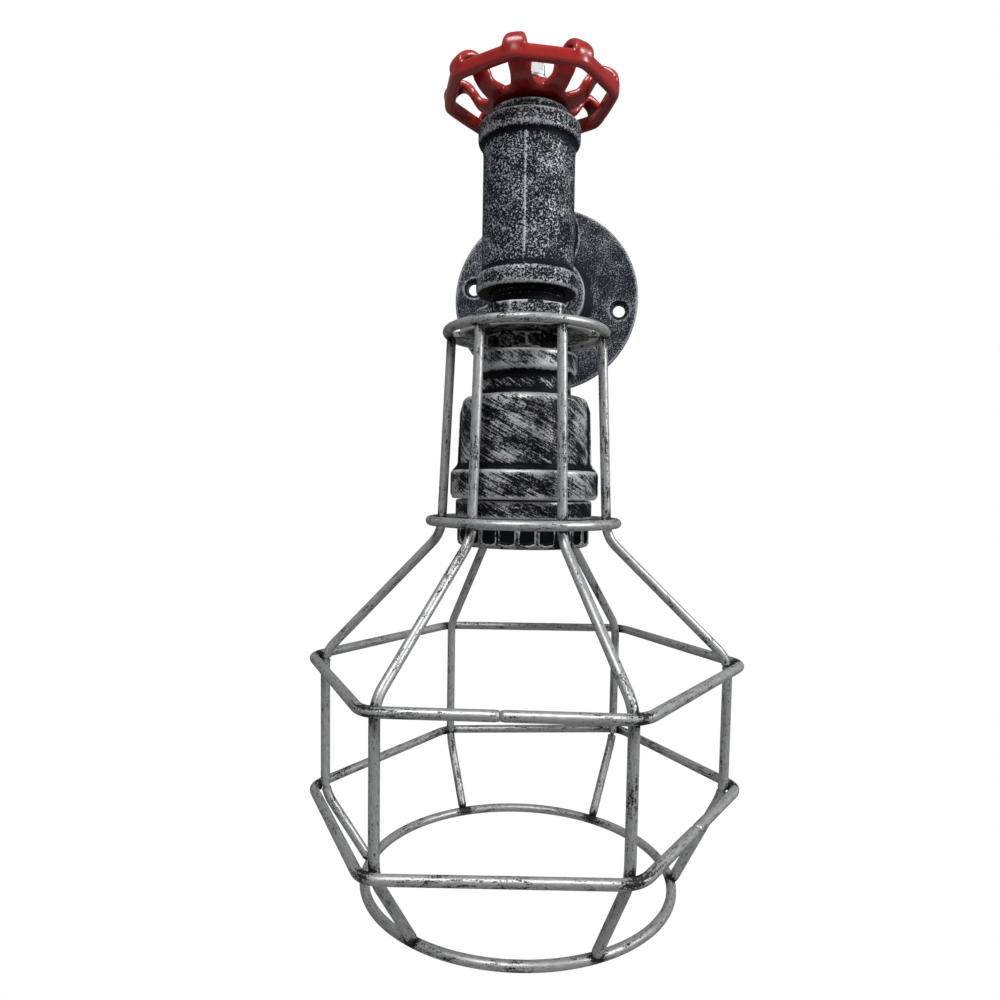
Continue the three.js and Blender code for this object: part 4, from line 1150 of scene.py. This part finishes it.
shell = turned(
    "threaded_shell_brass",
    [
        (shell_radius - shell_wall, shell_low.z, 0.2 * mm), (shell_radius, shell_low.z, 0.3 * mm),
        (shell_radius, shell_high.z, 1.0 * mm), (shell_hole, shell_high.z),
        (shell_hole, shell_high.z - shell_wall),
        (shell_radius - shell_wall, shell_high.z - shell_wall, 0.8 * mm),
    ],
    sides=120, place=on_axis, step=0.4 * mm, shape=rolled,
)
mark_edges(shell, 1)
brass = plated("nickel_washed_brass", (0.50, 0.44, 0.30), (0.78, 0.72, 0.55), 1.4 * mm)
wear(shell, brass, "threaded_shell")
for node in ("centre_contact", "earth_screw"):
    finish_kept(node, brass)
for side in ("live", "neutral"):
    finish_kept(f"{side}_terminal", brass)
    finish_kept(f"{side}_terminal_screw", brass)

# ---- Leads ----
# Two insulated leads, brown and blue, from the lampholder's terminals up the tube, round through the tee and
# the nipple, and out at the back of the flange.
for node, colour in (("live_lead", (0.16, 0.055, 0.02)), ("neutral_lead", (0.02, 0.07, 0.30))):
    finish_kept(node, moulded(node + "_sleeve", colour, 0.4))

# ---- Studio ----
# A pale round floor well below the light, a white room, a large soft lamp over the front, a smaller one at
# the right, and the camera a little to the right of the light and below its arm.
floor_radius, floor_drop, floor_depth = 1.2, 1.2, 0.05
floor = turned(
    "studio_floor", [(0, 0), (floor_radius, 0), (floor_radius, -floor_depth), (0, -floor_depth)],
    closed=False, sides=64, place=Matrix.Translation((0, 0, cad_low.z - floor_drop)), step=0.3,
)


def floor_finish():
    finish = Finish("studio_floor")
    cloud = finish.noise(3.0, detail=3.0)
    return finish.done(base_color=finish.blend(cloud, (0.90, 0.90, 0.90), (0.94, 0.94, 0.94)), roughness=0.9)


floor.data.materials.append(floor_finish())

world = bpy.data.worlds.new("room")
bpy.context.scene.world = world
world.use_nodes = True
room = world.node_tree
white = room.nodes["Background"]
white.inputs["Color"].default_value = (1, 1, 1, 1)
white.inputs["Strength"].default_value = 0.16
backdrop = room.nodes.new("ShaderNodeBackground")
backdrop.inputs["Strength"].default_value = 1.0
backdrop.inputs["Color"].default_value = (1, 1, 1, 1)
seen = room.nodes.new("ShaderNodeLightPath")
either = room.nodes.new("ShaderNodeMixShader")
room.links.new(seen.outputs["Is Camera Ray"], either.inputs[0])
room.links.new(white.outputs[0], either.inputs[1])
room.links.new(backdrop.outputs[0], either.inputs[2])
room.links.new(either.outputs[0], room.nodes["World Output"].inputs["Surface"])


def lamp(name, spot, aim, size, power):
    light = bpy.data.lights.new(name, "AREA")
    light.size, light.energy = size, power
    made = bpy.data.objects.new(name, light)
    made.location = spot
    made.rotation_mode = "QUATERNION"
    made.rotation_quaternion = (Vector(aim) - Vector(spot)).to_track_quat("-Z", "Y")
    bpy.context.scene.collection.objects.link(made)


key_spot, side_spot = Vector((-0.15, -0.75, 0.85)), Vector((0.75, -0.25, 0.25))
key_aim, side_aim = Vector((0, 0, -0.08)), Vector((0, 0, -0.05))
lamp("key_lamp", axis + key_spot, axis + key_aim, size=0.5, power=9.5)
lamp("side_lamp", axis + side_spot, axis + side_aim, size=0.3, power=4.5)

camera = bpy.data.cameras.new("camera")
camera.sensor_width, camera.lens = 36, 27.2
camera.clip_start, camera.clip_end = 0.01, 30
camera_stand = bpy.data.objects.new("camera", camera)
turn, tilt, roll = math.radians(6.3), math.radians(-0.93), math.radians(-0.95)
camera_spot = Matrix.Translation(axis + Vector((0.0216, -0.273, -0.0992)))
upright = Matrix.Rotation(math.radians(90) + tilt, 4, "X") @ Matrix.Rotation(-roll, 4, "Z")
camera_stand.matrix_world = camera_spot @ Matrix.Rotation(turn, 4, "Z") @ upright
bpy.context.scene.collection.objects.link(camera_stand)
bpy.context.scene.camera = camera_stand
bpy.context.scene.view_settings.view_transform = "Standard"
